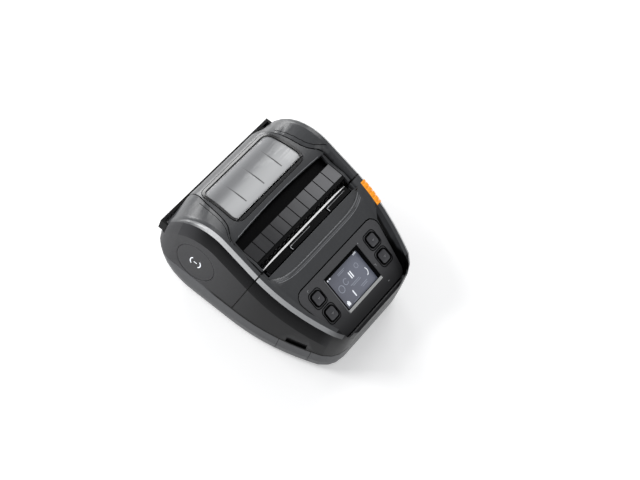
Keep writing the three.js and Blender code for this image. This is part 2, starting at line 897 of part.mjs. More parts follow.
function exitWalls() {
  const outside = exitHalfWidth + railWall;
  const bottom = exitTrayZ - railWall;
  const walls = bothSides(exitHalfWidth, outside, exitFrontY - railWall, far, bottom, far);
  return union(...walls).intersect(body(seam));
}

// The control panel's plane: X across, Y up the slope to the rear, Z out of the panel
const panelGroup = new THREE.Group();
panelGroup.position.set(0, panelRearY, panelRearZ);
panelGroup.rotation.x = panelAngle;
panelGroup.updateMatrix();
root.add(panelGroup);

function onPanel(y) {
  return (y - panelRearY) / Math.cos(panelAngle);
}

function placed(made) {
  return solid(geometryOf(made).applyMatrix4(panelGroup.matrix));
}

function panelPlan(margin) {
  const front = onPanel(panelFrontY) - margin;
  const corners = [
    [panelFrontHalfWidth + margin, front],
    [panelRearHalfWidth + margin, margin],
    [-panelRearHalfWidth - margin, margin],
    [-panelFrontHalfWidth - margin, front],
  ];
  return rounded(corners, panelCorner + margin);
}

function deckPocket() {
  const arc = [];
  const steps = fewSides;
  for (let i = 0; i <= steps; i += 1) {
    const share = (2 * i) / steps - 1;
    const bow = Math.abs(share) ** bowPower;
    arc.push([share * deckCornerX, deckLipY + (deckRearShare * (exitFrontY - deckLipY) * bow)]);
  }
  const slope = Math.atan((deckRearZ - lipZ) / (seamTopY - lipY));
  const plan = [...arc, [deckCornerX, overrun], [-deckCornerX, overrun]];
  const prism = extrusion(plan.map(([x, y]) => [x, y - seamTopY]), far);
  return solid(prism.rotateX(slope).translate(0, seamTopY, deckRearZ - deckRecess));
}

function frontHousing() {
  const pocket = placed(extrudeZ(panelPlan(panelGroove), -panelThickness - clear, far));
  const through = placed(extrudeZ(panelPlan(-panelLedge), -far, overrun));
  const ledgeTop = -panelThickness - clear;
  const ledge = placed(extrudeZ(panelPlan(panelLedge), ledgeTop - panelLedgeThickness, ledgeTop));
  const whole = union(cut(shell, deckPocket()), ledge.intersect(body(seam)));
  const walled = union(whole, exitWalls());
  const opened = cut(walled, pocket, through, exitCut(), latchWell(clear, latchHeight), thumbNotch());
  return cut(opened.intersect(above(seatInside)), behindSeam(-seam / 2));
}

// Lower moulding with the battery bay, screw posts and the guide pinion's posts
const screwPlaces = [
  ["screw_front_right", screwFrontX, screwFrontY],
  ["screw_front_left", -screwFrontX, screwFrontY],
  ["screw_rear_right", screwRearX, screwRearY],
  ["screw_rear_left", -screwRearX, screwRearY],
];
const bayTopZ = batteryTopZ + clear + batteryWall;
const catchRearY = batteryRearY + 2 * (clear + batteryWall) + batteryLatchDepth;
const catchFrontY = catchRearY - batteryLatchDepth;
const rackFrontY = rackY - rackDepth / 2;
const rackRearY = rackY + rackDepth / 2;

function batteryBox(margin, z0, z1) {
  const side = batteryHalfWidth + margin;
  return box(-side, side, batteryFrontY - margin, batteryRearY + margin, z0, z1);
}

function pinionPosts() {
  const top = rackZ + pinionPost;
  const rows = [
    [rackFrontY - clear - pinionPost, rackFrontY - clear],
    [rackRearY + clear, rackRearY + clear + pinionPost],
  ];
  return union(...rows.map(([y0, y1]) => box(-pinionPost, pinionPost, y0, y1, wall / 2, top)));
}

function rackBed() {
  const top = rackZ - rackPitchRadius - toothDropShare * rackModule - rackHeight - clear;
  return box(-rackReach, rackReach, rackFrontY, rackRearY, wall / 2, top);
}

function lowerHousing() {
  const below = box(-far, far, -far, far, -far, partingZ - seam / 2);
  const bay = batteryBox(clear + batteryWall, wall / 2, bayTopZ);
  const posts = screwPlaces.map(([, x, y]) => rodZ(x, y, postRadius, wall / 2, postHeight));
  const holes = screwPlaces.flatMap(([, x, y]) => [
    rodZ(x, y, screwHeadRadius + clear, -overrun, screwSink + screwHeadHeight + clear),
    rodZ(x, y, screwRadius + clear, -overrun, screwSink + screwLength + clear, fewSides),
  ]);
  const whole = union(shell.intersect(below), bay, ...posts, pinionPosts(), rackBed());
  const catchHole = box(
    -batteryLatchWidth / 2 - clear,
    batteryLatchWidth / 2 + clear,
    catchFrontY - clear,
    catchRearY + batteryLatchTravel + clear,
    -overrun,
    wall + seam,
  );
  const reach = clear + pinionPost + overrun;
  const pivot = rodY(0, rackZ, motorShaftRadius + clear, rackFrontY - reach, rackRearY + reach);
  return cut(whole, batteryBox(clear, -overrun, batteryTopZ + clear), ...holes, catchHole, pivot, portHole());
}

// The port cover's own directions: X out of the left side, Y along it to the front, Z up
const portRear = new THREE.Vector3(-sideX(portRearY), portRearY, 0);
const portFront = new THREE.Vector3(-sideX(portFrontY), portFrontY, 0);
const portAlong = portFront.clone().sub(portRear).normalize();
const portOut = portAlong.clone().cross(new THREE.Vector3(0, 0, 1));
const portHinge = portRear.clone().add(portFront).divideScalar(2).addScaledVector(portOut, -portHingeInset);
portHinge.z = portBottomZ;
const portHalf = portRear.distanceTo(portFront) / 2;
const socketRoom = -portHinge.x - portRecess - batteryHalfWidth - clear - batteryWall;
const socketLength = socketLengthShare * socketRoom;

function portBox(u0, u1, v0, v1, z0, z1) {
  const place = new THREE.Matrix4().makeBasis(portOut, portAlong, new THREE.Vector3(0, 0, 1));
  const geometry = new THREE.BoxGeometry(u1 - u0, v1 - v0, z1 - z0);
  geometry.translate((u0 + u1) / 2, (v0 + v1) / 2, (z0 + z1) / 2);
  return solid(geometry.applyMatrix4(place.setPosition(portHinge)));
}

function portHole() {
  return portBox(-portRecess, portRecess, -portHalf, portHalf, -clear, far);
}

function portCover() {
  const half = portHalf - clear;
  const top = partingZ - seam / 2 - portBottomZ;
  return shell.intersect(portBox(-portRecess, portRecess, -half, half, 0, top));
}

function thumbNotch() {
  const low = partingZ - portBottomZ - overrun;
  const high = partingZ - portBottomZ + notchHeight;
  const depth = notchDepth - portHingeInset;
  return portBox(-depth, far, -notchWidth / 2, notchWidth / 2, low, high);
}

function portSockets() {
  const top = bayTopZ - portBottomZ;
  const half = socketWidth / 2;
  const inside = -portRecess - socketLength;
  const middle = top - socketHeight / 2;
  const block = portBox(inside, -portRecess, -half, half, top - socketHeight, top);
  const usb = portBox(
    -portRecess - socketDepth,
    0,
    jackOffset - usbWidth / 2,
    jackOffset + usbWidth / 2,
    middle - usbHeight / 2,
    middle + usbHeight / 2,
  );
  const bore = new THREE.CylinderGeometry(jackRadius, jackRadius, socketDepth * 2, someSides);
  const place = new THREE.Matrix4().makeBasis(portOut, portAlong, new THREE.Vector3(0, 0, 1));
  bore.rotateZ(Math.PI / 2).translate(-portRecess, -jackOffset, middle);
  return cut(block, usb, solid(bore.applyMatrix4(place.setPosition(portHinge))));
}

// Cover that swings about the rear hinge
function coverSolid() {
  const rear = coverCrownY + coverHalfRun;
  const skirt = (y) => Math.max(Math.min(coverZ(y) - coverThickness, crownZ(y) + clear), coverSkirtZ);
  const outside = between(() => 0, (y) => coverZ(y), slotRearY, rear);
  const insideZ = (y) => coverZ(y, coverThickness);
  const start = slotRearY - overrun;
  const inside = between(() => -far, insideZ, start, rear - coverThickness);
  const plan = (margin) => extrudeZ(coverPlan(margin, start), 0, far);
  const hollow = inside.intersect(plan(-coverThickness));
  const below = between(() => 0, skirt, start, rear + overrun, manySides);
  const trimmed = cut(outside.intersect(plan(0)), hollow, below);
  const steps = [1, 2].map((step) => {
    const level = (y) => crownZ(y) - step * coverStep;
    return cut(between(() => 0, level, start, rear + overrun, manySides), plan(-step * coverStepIn));
  });
  return cut(trimmed, ...steps);
}

function slotBowPlan() {
  const arc = [];
  const steps = someSides;
  for (let i = 0; i <= steps; i += 1) {
    const share = (2 * i) / steps - 1;
    arc.push([share * slotHalfWidth, slotRearY + slotBow * (1 - share ** 2)]);
  }
  return [[-slotHalfWidth, combRearY], ...arc, [slotHalfWidth, combRearY]];
}

function coverArms() {
  const top = [
    [armFrontY, armFrontZ],
    [stripRearY + clear, combFrontZ],
    [combRearY, combRearZ],
    [slotRearY + slotBow, coverZ(slotRearY + slotBow) - seam],
  ];
  const bottom = top.map(([y, z]) => [y, z - armDepth]).reverse();
  const [x0, x1] = [slotHalfWidth - 2 * clear, slotHalfWidth - 2 * clear + armWidth];
  const arms = union(extrudeX([...bottom, ...top], x0, x1), extrudeX([...bottom, ...top], -x1, -x0));
  return arms.intersect(extrudeZ(coverPlan(-armInset, exitFrontY), 0, far));
}

function knuckles() {
  const webRear = hingeY + knuckleRadius * knuckleWebShare;
  const made = [-1, 1].flatMap((way) => {
    const middle = way * knuckleMiddleX;
    const [x0, x1] = [middle - knuckleWidth / 2, middle + knuckleWidth / 2];
    return [
      rodX(hingeY, hingeZ, knuckleRadius, x0, x1),
      box(x0, x1, hingeY - knuckleRadius / 2, webRear, hingeZ, coverSkirtZ + coverThickness),
    ];
  });
  return union(...made);
}

// Dark plate under the slot that keeps the web down and dust off the roll
function webGuide() {
  const rear = slotRearY + webGuideLap;
  const half = bayWallX - 2 * clear;
  const front = beamRearY + clear;
  const frontZ = combRearZ - webGuideDrop;
  const rollTop = rollZ + Math.sqrt(rollRadius ** 2 - (rollY - rear) ** 2);
  const rearZ = rollTop + webGuideGap + webGuideThickness;
  const outline = [
    [front, frontZ - webGuideThickness],
    [rear, rearZ - webGuideThickness],
    [rear, rearZ],
    [front, frontZ],
  ];
  return extrudeX(outline, -half, half);
}

const beamRearY = combRearY - clear * 2;
const beamFrontY = beamRearY - beamDepth;
const beamTopZ = combFrontZ - combThickness + clear;

function crossBeam() {
  const half = slotHalfWidth + clear;
  return box(-half, half, beamFrontY, beamRearY, beamTopZ - beamThickness, beamTopZ);
}

function windowOpening(margin) {
  return extrudeZ(windowPlan(margin), 0, far);
}

function coverShell() {
  const band = cut(coverSolid(), windowOpening(frameBorder + clear), extrudeZ(slotBowPlan(), 0, far));
  const bore = rodX(hingeY, hingeZ, hingePinRadius + clear, -lugEndX, lugEndX);
  return cut(union(band, coverArms(), crossBeam(), knuckles()), bore);
}

function coverSheet(top, depth, plan) {
  const sheet = between(
    (y) => coverZ(y) + top - depth,
    (y) => coverZ(y) + top,
    windowFrontY - frameBorder * 2,
    windowRearY + frameBorder * 2,
  );
  return sheet.intersect(plan);
}

function windowFrame() {
  const ring = cut(windowOpening(frameBorder), windowOpening(0));
  return coverSheet(frameProud, coverThickness + frameProud, ring);
}

function combPanel() {
  const front = stripRearY + clear;
  const slope = (combRearZ - combFrontZ) / (combRearY - front);
  const sheet = [
    [front, combFrontZ - combThickness],
    [combRearY, combRearZ - combThickness],
    [combRearY, combRearZ],
    [front, combFrontZ],
  ];
  const groove = [
    [front - overrun, combFrontZ - combGrooveDepth - overrun * slope],
    [combRearY + overrun, combRearZ - combGrooveDepth + overrun * slope],
    [combRearY + overrun, combRearZ + overrun],
    [front - overrun, combFrontZ + overrun],
  ];
  const pitch = (2 * combHalfWidth) / combCells;
  const cutters = [];
  for (let i = 1; i < combCells; i += 1) {
    const x = i * pitch - combHalfWidth;
    cutters.push(extrudeX(groove, x - combGroove / 2, x + combGroove / 2));
  }
  return cut(extrudeX(sheet, -combHalfWidth, combHalfWidth), ...cutters);
}

function toothedStrip() {
  const front = stripRearY - stripDepth;
  const strip = box(-combHalfWidth, combHalfWidth, front, stripRearY, stripBottomZ, combFrontZ - clear * 2);
  const pitch = (2 * combHalfWidth) / stripTeeth;
  const teeth = [];
  for (let i = 0; i < stripTeeth; i += 1) {
    const x = (i + 0.5) * pitch - combHalfWidth;
    const quarter = pitch * quarterShare;
    const top = stripBottomZ + stripToothHeight;
    teeth.push(box(x - quarter, x + quarter, front - stripToothDepth, stripRearY, stripBottomZ, top));
  }
  return union(strip, ...teeth);
}

function platenCarrier() {
  const top = combFrontZ - combThickness - clear;
  const bottom = top - carrierThickness;
  const front = stripRearY + clear;
  const beam = box(-carrierHalfWidth, carrierHalfWidth, front, carrierRearY, bottom, top);
  const x0 = carrierHalfWidth - bearingThickness;
  const lobes = [[x0, carrierHalfWidth], [-carrierHalfWidth, -x0]].flatMap(([a, b]) => [
    rodX(platenY, platenZ, bearingRadius, a, b),
    box(a, b, front, carrierRearY, platenZ, top),
  ]);
  const bore = rodX(platenY, platenZ, shaftRadius + clear, -far, far);
  return cut(union(beam, ...lobes), bore);
}

// Spur gears with straight-sided teeth, one tooth centred at the angle turn
function toothOutline(teeth, turn, module) {
  const radius = (module * teeth) / 2;
  const step = (2 * Math.PI) / teeth;
  const tooth = [
    [radius - toothDropShare * module, -toothRootShare],
    [radius + toothRiseShare * module, -toothTipShare],
    [radius + toothRiseShare * module, toothTipShare],
    [radius - toothDropShare * module, toothRootShare],
  ];
  const points = [];
  for (let i = 0; i < teeth; i += 1) {
    for (const [reach, share] of tooth) {
      const angle = turn + (i + share) * step;
      points.push([reach * Math.cos(angle), reach * Math.sin(angle)]);
    }
  }
  return points;
}

const gearOuterX = gearX + gearWidth;
function gear(teeth, [y, z], turn, bore) {
  const outline = toothOutline(teeth, turn, gearModule).map(([u, v]) => [u + y, v + z]);
  return cut(extrudeX(outline, -gearOuterX, -gearX), rodX(y, z, bore, -far, 0));
}

function gearReach(one, other) {
  return (gearModule * (one + other)) / 2 + meshClear;
}
const idlerZ = platenZ - Math.sqrt(gearReach(platenTeeth, idlerTeeth) ** 2 - (platenY - idlerY) ** 2);
const pinionZ = idlerZ - Math.sqrt(gearReach(pinionTeeth, idlerTeeth) ** 2 - (idlerY - pinionY) ** 2);
const motorRoom = Math.min(springPlateBottomZ - pinionZ, pinionZ - bayTopZ);
const motorRadius = motorRoomShare * motorRoom;
const toIdler = Math.atan2(idlerZ - platenZ, idlerY - platenY);
const toPinion = Math.atan2(pinionZ - idlerZ, pinionY - idlerY);
const idlerTurn = toIdler + Math.PI + Math.PI / idlerTeeth;
const idlerStep = (2 * Math.PI) / idlerTeeth;
const idlerLead = (idlerTurn - toPinion) - idlerStep * Math.round((idlerTurn - toPinion) / idlerStep);
const pinionTurn = toPinion + Math.PI - (idlerLead * idlerTeeth) / pinionTeeth + Math.PI / pinionTeeth;

function motorPinion() {
  const bare = gear(pinionTeeth, [pinionY, pinionZ], pinionTurn, motorShaftRadius);
  const inside = frameX - clear - motorLength * boreShare;
  const shaft = rodX(pinionY, pinionZ, motorShaftRadius + meshClear, -gearOuterX - shaftOverhang, -inside);
  return union(bare, shaft);
}

function stepperMotor() {
  const outside = frameX - clear;
  const body = rodX(pinionY, pinionZ, motorRadius, -outside, motorLength - outside, manySides);
  const bore = motorShaftRadius + clear + meshClear;
  return cut(body, rodX(pinionY, pinionZ, bore, -far, -outside + motorLength * boreShare + clear));
}

// Side frames of the print mechanism, each with an open slot for the platen's shaft
const slotHalf = shaftRadius + clear;
const slotLean = 2 * clear;
const peelerBack = peelerBarrel;
function frameOutline() {
  const low = wall + clear;
  const brow = frameTopZ;
  return [
    [frameFrontY, low],
    [frameRearY, low],
    [frameRearY, platenZ - shaftRadius],
    [platenY + slotHalf * 2 + slotLean, brow],
    [platenY - slotHalf * 2 + clear, brow],
    [platenY - slotHalf * 2 + clear, frameSeatZ],
    [peelerPivotY + peelerBack + clear, frameSeatZ],
    [peelerPivotY + peelerPinRadius * 2, brow],
    [exitFrontY + clear, brow],
    [exitFrontY + clear, frameSeatZ],
    [frameFrontY, platenZ - clear],
  ];
}

function sideFrame(way) {
  const [x0, x1] = [frameX, frameX + framePlate].map((x) => x * way).sort((a, b) => a - b);
  const mouth = [
    [platenY - slotHalf, platenZ],
    [platenY + slotHalf, platenZ],
    [platenY + slotHalf + slotLean, frameTopZ],
    [platenY + slotHalf + slotLean, far],
    [platenY - slotHalf, far],
  ];
  const slot = extrudeX(mouth, x0 - overrun, x1 + overrun);
  const holes = [
    rodX(platenY, platenZ, slotHalf, x0 - overrun, x1 + overrun),
    rodX(latchShaftY, latchShaftZ, latchShaftRadius + clear, x0 - overrun, x1 + overrun),
    rodX(peelerPivotY, peelerPivotZ, peelerPinRadius + clear, x0 - overrun, x1 + overrun, fewSides),
  ];
  const plate = cut(extrudeX(frameOutline(), x0, x1), slot, ...holes);
  if (way > 0) return plate;
  const axle = rodX(idlerY, idlerZ, idlerAxleRadius, -gearOuterX - shaftOverhang, x1);
  const shaftHole = motorShaftRadius + clear + meshClear;
  return cut(union(plate, axle), rodX(pinionY, pinionZ, shaftHole, -far, 0));
}

const headRearY = platenY - platenRadius - clear;
const headTopZ = frameSeatZ;
const bracketRearY = headRearY - headThickness - clear;
const bracketFrontY = bracketRearY - bracketThickness;
const innerHalf = frameX - clear;

function tearBar() {
  const rear = bracketRearY + tearBarDepth - clear;
  const pitch = (2 * tearBarHalfWidth) / tearTeeth;
  const points = [[-tearBarHalfWidth, rear - tearBarDepth]];
  for (let i = 0; i <= tearTeeth; i += 1) {
    const x = i * pitch - tearBarHalfWidth;
    points.unshift([x, rear - tearToothDepth]);
    if (i < tearTeeth) points.unshift([x + pitch / 2, rear]);
  }
  points.unshift([tearBarHalfWidth, rear - tearBarDepth]);
  return extrudeZ(points, tearBarZ, tearBarZ + tearBarThickness);
}

function headSpring(x) {
  const [y0, y1] = [springPlateY + clear, bracketFrontY - clear];
  return cut(rodY(x, springZ, springRadius, y0, y1), rodY(x, springZ, springBore, -far, far, fewSides));
}

function peelerFlap() {
  const front = exitFrontY + (peelerPivotY - exitFrontY) / 2;
  const rear = peelerPivotY + peelerReach;
  const top = peelerPivotZ + peelerThickness / 2;
  const plate = box(-peelerHalfWidth, peelerHalfWidth, front, rear, top - peelerThickness, top);
  const reach = frameX + framePlate;
  const pins = rodX(peelerPivotY, peelerPivotZ, peelerPinRadius, -reach, reach, fewSides);
  const half = peelerBreakWidth / 2;
  const breaks = [peelerBreakX, -peelerBreakX].map((x) =>
    box(x - half, x + half, -far, far, top - peelerBreakDepth, far),
  );
  return cut(union(plate, pins), ...breaks);
}

// Latch shaft: a hook at each side in front of the platen's shaft, and the lever under the button
const hookX = frameX + framePlate + clear + seam / 2;
function latchHook(x0, x1) {
  const rear = platenY - slotHalf - hookGap;
  return union(
    rodX(latchShaftY, latchShaftZ, hookHubRadius, x0, x1),
    box(x0, x1, rear - hookWidth, rear, latchShaftZ, hookTopZ),
  );
}

function latchShaft() {
  const stemInner = sideX(latchRearY) - latchHookDrop;
  const leverX = [stemInner - clear, stemInner + leverWidth];
  const rod = rodX(latchShaftY, latchShaftZ, latchShaftRadius, -hookX - hookThickness, leverX[1]);
  const tipZ = ridgeZ(latchRearY) - latchHookDrop - seam;
  const tipY = latchRearY - latchThickness * 2;
  const lever = extrudeX(
    [
      [latchShaftY, latchShaftZ - hookHubRadius],
      [latchShaftY, latchShaftZ + hookHubRadius],
      [tipY, tipZ],
      [tipY, tipZ - leverWidth],
    ],
    ...leverX,
  );
  const hub = rodX(latchShaftY, latchShaftZ, hookHubRadius, ...leverX);
  const hooks = [latchHook(hookX, hookX + hookThickness), latchHook(-hookX - hookThickness, -hookX)];
  return union(rod, lever, hub, ...hooks);
}

// Control panel, drawn flat in its own plane
const displayY = onPanel(displayMiddleY);
function onFace(halfX, halfY, y, z0, z1) {
  return box(-halfX, halfX, y - halfY, y + halfY, z0, z1);
}

const keys = [
  ["key_rear_left", -rearKeyX, rearKeyY],
  ["key_rear_right", rearKeyX, rearKeyY],
  ["key_front_left", -frontKeyX, frontKeyY],
  ["key_front_right", frontKeyX, frontKeyY],
];

function square(x, y, half, corner, z0, z1) {
  const corners = [[half, -half], [half, half], [-half, half], [-half, -half]];
  return extrudeZ(rounded(corners.map(([u, v]) => [u + x, v + y]), corner), z0, z1);
}

function keyShape(x, y, margin, z0, z1) {
  return square(x, onPanel(y), keySize / 2 + margin, keyCorner + margin, z0, z1);
}

function controlPanel() {
  const plate = extrudeZ(panelPlan(0), -panelThickness, 0);
  const opening = onFace(displayWidth / 2, displayDepth / 2, displayY, -far, far);
  return cut(plate, opening, ...keys.map(([, x, y]) => keyShape(x, y, clear, -far, far)));
}

const keyTopOfFlange = -panelThickness - clear;
function panelKey(x, y) {
  const flange = keyShape(x, y, keyFlange, keyTopOfFlange - keyFlangeThickness, keyTopOfFlange);
  return union(flange, keyShape(x, y, 0, keyTopOfFlange - keyFlangeThickness / 2, keyProud));
}

const bezelTop = -clear;
const screenTop = bezelTop - bezelThickness - clear;
const moduleTop = screenTop - glassThickness - clear;
const boardTop = moduleTop - moduleThickness - clear;
const displayHalf = [displayWidth / 2 - clear, displayDepth / 2 - clear];

function displayBezel() {
  const [halfX, halfY] = displayHalf;
  const inner = onFace(halfX - bezelWidth, halfY - bezelWidth, displayY, -far, far);
  return cut(onFace(halfX, halfY, displayY, bezelTop - bezelThickness, bezelTop), inner);
}

function controlBoard() {
  const half = (onPanel(panelRearY) - onPanel(panelFrontY)) / 2 - panelLedge * 2;
  const middle = (onPanel(panelFrontY) + onPanel(panelRearY)) / 2;
  const width = rearKeyX + switchSize;
  const board = onFace(width, half, middle, boardTop - boardThickness, boardTop);
  const switchTop = keyTopOfFlange - keyFlangeThickness - keyTravel - clear * 2;
  const switches = keys.map(([, x, y]) =>
    square(
      x,
      onPanel(y),
      switchSize / 2,
      switchSize * switchCornerShare,
      boardTop - boardThickness / 2,
      switchTop,
    ),
  );
  return union(board, ...switches);
}

// Label roll on its core, and the two guides that centre it
function ringX(y, z, outside, bore, x0, x1, sides = manySides) {
  return cut(rodX(y, z, outside, x0, x1, sides), rodX(y, z, bore, x0 - overrun, x1 + overrun, manySides));
}

function rack(direction, x0, x1) {
  const line = rackZ + direction * (rackPitchRadius + meshClear);
  const root = line + direction * toothDropShare * rackModule;
  const tip = line - direction * toothRiseShare * rackModule;
  const back = root + direction * rackHeight;
  const points = [];
  const count = Math.floor(rackReach / rackPitch);
  for (let i = -count; i <= count; i += 1) {
    const x = i * rackPitch;
    points.push([x - toothRootShare * rackPitch, root], [x - toothTipShare * rackPitch, tip]);
    points.push([x + toothTipShare * rackPitch, tip], [x + toothRootShare * rackPitch, root]);
  }
  const outline = [[x0, root], ...points, [x1, root], [x1, back], [x0, back]];
  return extrudeY(outline, rackFrontY, rackRearY);
}

// An outline in X and Z, drawn out along Y
function extrudeY(points, y0, y1) {
  const turned = extrusion(points, y1 - y0).rotateX(Math.PI / 2);
  return solid(turned.translate(0, y1, 0));
}

function rollGuide(way) {
  const x0 = rollHalfWidth + clear;
  const x1 = x0 + guideThickness;
  const hubRadius = coreBore - clear;
  const low = rackZ - rackPitchRadius - toothDropShare * rackModule - rackHeight - meshClear;
  const high = 2 * rackZ - low;
  const across = guideArmWidth / 2;
  const made = union(
    rodX(rollY, rollZ, guideRadius, x0, x1, manySides),
    rodX(rollY, rollZ, hubRadius, x0 - guideHubLength, x1, manySides),
    extrudeX(
      [
        [rollY - across, rollZ + across],
        [rollY + across, rollZ - across],
        [rackRearY, low],
        [rackFrontY, low],
        [rackFrontY, high],
      ],
      x0,
      x1,
    ),
    rack(way, -rackReach, x1),
  );
  if (way > 0) return made;
  const mirrored = geometryOf(made).applyMatrix4(new THREE.Matrix4().makeScale(-1, 1, 1));
  const index = mirrored.index.array;
  for (let i = 0; i < index.length; i += 3) [index[i], index[i + 1]] = [index[i + 1], index[i]];
  return solid(mirrored);
}

function guidePinion() {
  const outline = toothOutline(guidePinionTeeth, Math.PI / 2 + Math.PI / guidePinionTeeth, rackModule);
  const teeth = extrudeY(outline.map(([u, v]) => [u, v + rackZ]), rackFrontY, rackRearY);
  const reach = clear + pinionPost;
  const axle = rodY(0, rackZ, motorShaftRadius, rackFrontY - reach, rackRearY + reach);
  return union(teeth, axle);
}

// Electronics, battery and its catch
const boardBottom = bayTopZ + clear;
function mainBoard() {
  const top = boardBottom + boardThickness;
  const board = box(-boardHalfWidth, boardHalfWidth, boardFrontY, boardRearY, boardBottom, top);
  const middle = (boardFrontY + boardRearY) / 2;
  const half = chipWidth / 2;
  const chips = [-2, 0, 2].map((place) =>
    box(
      half * (place * chipPitchShare - 1),
      half * (place * chipPitchShare + 1),
      middle - half,
      middle + half,
      boardBottom,
      top + chipHeight,
    ),
  );
  return union(board, ...chips);
}

function batteryCatch() {
  const half = batteryLatchWidth / 2;
  const button = box(-half, half, catchFrontY, catchRearY, batteryBottomZ, wall + clear * 2);
  const flangeRear = rackFrontY - clear - pinionPost - batteryLatchTravel - clear * 2;
  const flange = box(
    -half - wall,
    half + wall,
    catchFrontY,
    flangeRear,
    wall + clear,
    wall + clear + batteryWall,
  );
  return union(button, flange);
}

function screw(x, y) {
  const top = screwSink + screwHeadHeight;
  return union(
    rodZ(x, y, screwHeadRadius, screwSink, top),
    rodZ(x, y, screwRadius, screwSink, screwSink + screwLength, fewSides),
  );
}

function rearBar() {
  const front = halfLength - rearBarThickness;
  const bar = box(-rearBarHalfWidth, rearBarHalfWidth, front, halfLength, rearBarBottomZ, rearBarTopZ);
  const inside = rearBarHalfWidth - wall;
  const hooks = bothSides(inside, rearBarHalfWidth, hingeY - seam, halfLength, rearBarBottomZ, rearBarTopZ);
  const gap = (2 * rearBarRibHalfRun - rearBarRibs * rearBarRibWidth) / (rearBarRibs + 1);
  const slots = [];
  for (let i = 0; i <= rearBarRibs; i += 1) {
    const x = i * (gap + rearBarRibWidth) - rearBarRibHalfRun;
    const [z0, z1] = [rearBarBottomZ + rearBarEdge, rearBarTopZ - rearBarEdge];
    slots.push(box(x, x + gap, halfLength - rearBarRibDepth, far, z0, z1));
  }
  return cut(union(bar, ...hooks), ...slots);
}

// The assembly
add("lower_housing", lowerHousing(), charcoal());
add("front_housing", frontHousing(), charcoal());
add("rear_housing", rearHousing(), charcoal());
for (const [name, x] of [["boss_cap_right", halfWidth - bossCapThickness], ["boss_cap_left", -halfWidth]]) {
  add(name, rodX(bossY, bossZ, bossCapRadius, x, x + bossCapThickness, manySides), charcoal());
}
add("rear_bar", rearBar(), blackPlastic());
const pinReach = lugEndX - clear;
add("hinge_pin", rodX(hingeY, hingeZ, hingePinRadius, -pinReach, pinReach), steel());
add("port_cover", portCover(), charcoal());
add("port_sockets", portSockets(), blackPlastic());

add("cover_shell", coverShell(), charcoal());
add("window_frame", windowFrame(), blackPlastic());
add("window", coverSheet(-windowSink, windowThickness, windowOpening(-clear)), material(0xa7abac, 0.4));
add("comb_panel", combPanel(), charcoal());
add("web_guide", webGuide(), blackPlastic());
add("toothed_strip", toothedStrip(), blackPlastic());
add("platen_carrier", platenCarrier(), blackPlastic());

const shaftLeftX = gearOuterX + shaftOverhang;
add(
  "platen_roller",
  ringX(platenY, platenZ, platenRadius, shaftRadius + clear, -platenHalfWidth, platenHalfWidth),
  rubber(),
);
add("platen_shaft", rodX(platenY, platenZ, shaftRadius, -shaftLeftX, shaftRightX), steel());
add("platen_gear", gear(platenTeeth, [platenY, platenZ], toIdler, shaftRadius + clear), whitePlastic());
add("idler_gear", gear(idlerTeeth, [idlerY, idlerZ], idlerTurn, idlerAxleRadius + clear), whitePlastic());
add("motor_pinion", motorPinion(), steel());
add("stepper_motor", stepperMotor(), darkSteel());
add("side_frame_right", sideFrame(1), darkSteel());
add("side_frame_left", sideFrame(-1), darkSteel());
add(
  "print_head",
  box(
    -headHalfWidth,
    headHalfWidth,
    headRearY - headThickness,
    headRearY,
    headTopZ - headHeight,
    headTopZ,
  ),
  blackPlastic(),
);
add(
  "head_bracket",
  box(-innerHalf, innerHalf, bracketFrontY, bracketRearY, bracketBottomZ, headTopZ),
  darkSteel(),
);
add("head_spring_right", headSpring(springX), steel());
add("head_spring_left", headSpring(-springX), steel());
add(
  "spring_plate",
  box(
    -innerHalf,
    innerHalf,
    springPlateY - springPlateThickness,
    springPlateY,
    springPlateBottomZ,
    springPlateTopZ,
  ),
  darkSteel(),
);
add("tear_bar", tearBar(), steel());
add(
  "exit_tray",
  box(
    -innerHalf,
    innerHalf,
    exitFrontY + clear,
    bracketFrontY - clear,
    exitTrayZ,
    exitTrayZ + exitTrayThickness,
  ),
  blackPlastic(),
);
add("peeler_flap", peelerFlap(), blackPlastic());
add("latch_shaft", latchShaft(), steel());
add("latch_button", latchButton(), orange());

add("control_panel", controlPanel(), charcoal(), panelGroup);
add("display_bezel", displayBezel(), blackPlastic(), panelGroup);
add(
  "display_screen",
  onFace(...displayHalf, displayY, screenTop - glassThickness, screenTop),
  material(0x787c84, 0.25),
  panelGroup,
);
add(
  "display_module",
  onFace(...displayHalf, displayY, moduleTop - moduleThickness, moduleTop),
  blackPlastic(),
  panelGroup,
);
add("control_board", controlBoard(), boardGreen(), panelGroup);
for (const [name, x, y] of keys) add(name, panelKey(x, y), charcoal(), panelGroup);

add(
  "label_roll",
  ringX(rollY, rollZ, rollRadius, coreRadius + clear, -rollHalfWidth, rollHalfWidth, mostSides),
  material(0xf0efea, 0.8),
);
add(
  "roll_core",
  ringX(rollY, rollZ, coreRadius, coreBore, -rollHalfWidth, rollHalfWidth),
  material(0xb08d62, 0.85),
);
add("roll_guide_right", rollGuide(1), blackPlastic());
add("roll_guide_left", rollGuide(-1), blackPlastic());
add("guide_pinion", guidePinion(), whitePlastic());

add("main_board", mainBoard(), boardGreen());
add("battery_pack", batteryBox(0, batteryBottomZ, batteryTopZ), blackPlastic());
add("battery_catch", batteryCatch(), blackPlastic());
for (const [name, x, y] of screwPlaces) add(name, screw(x, y), steel());

export default root;
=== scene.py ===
import json
import math
import bmesh
import bpy
from mathutils import Matrix, Vector
from mathutils.bvhtree import BVHTree


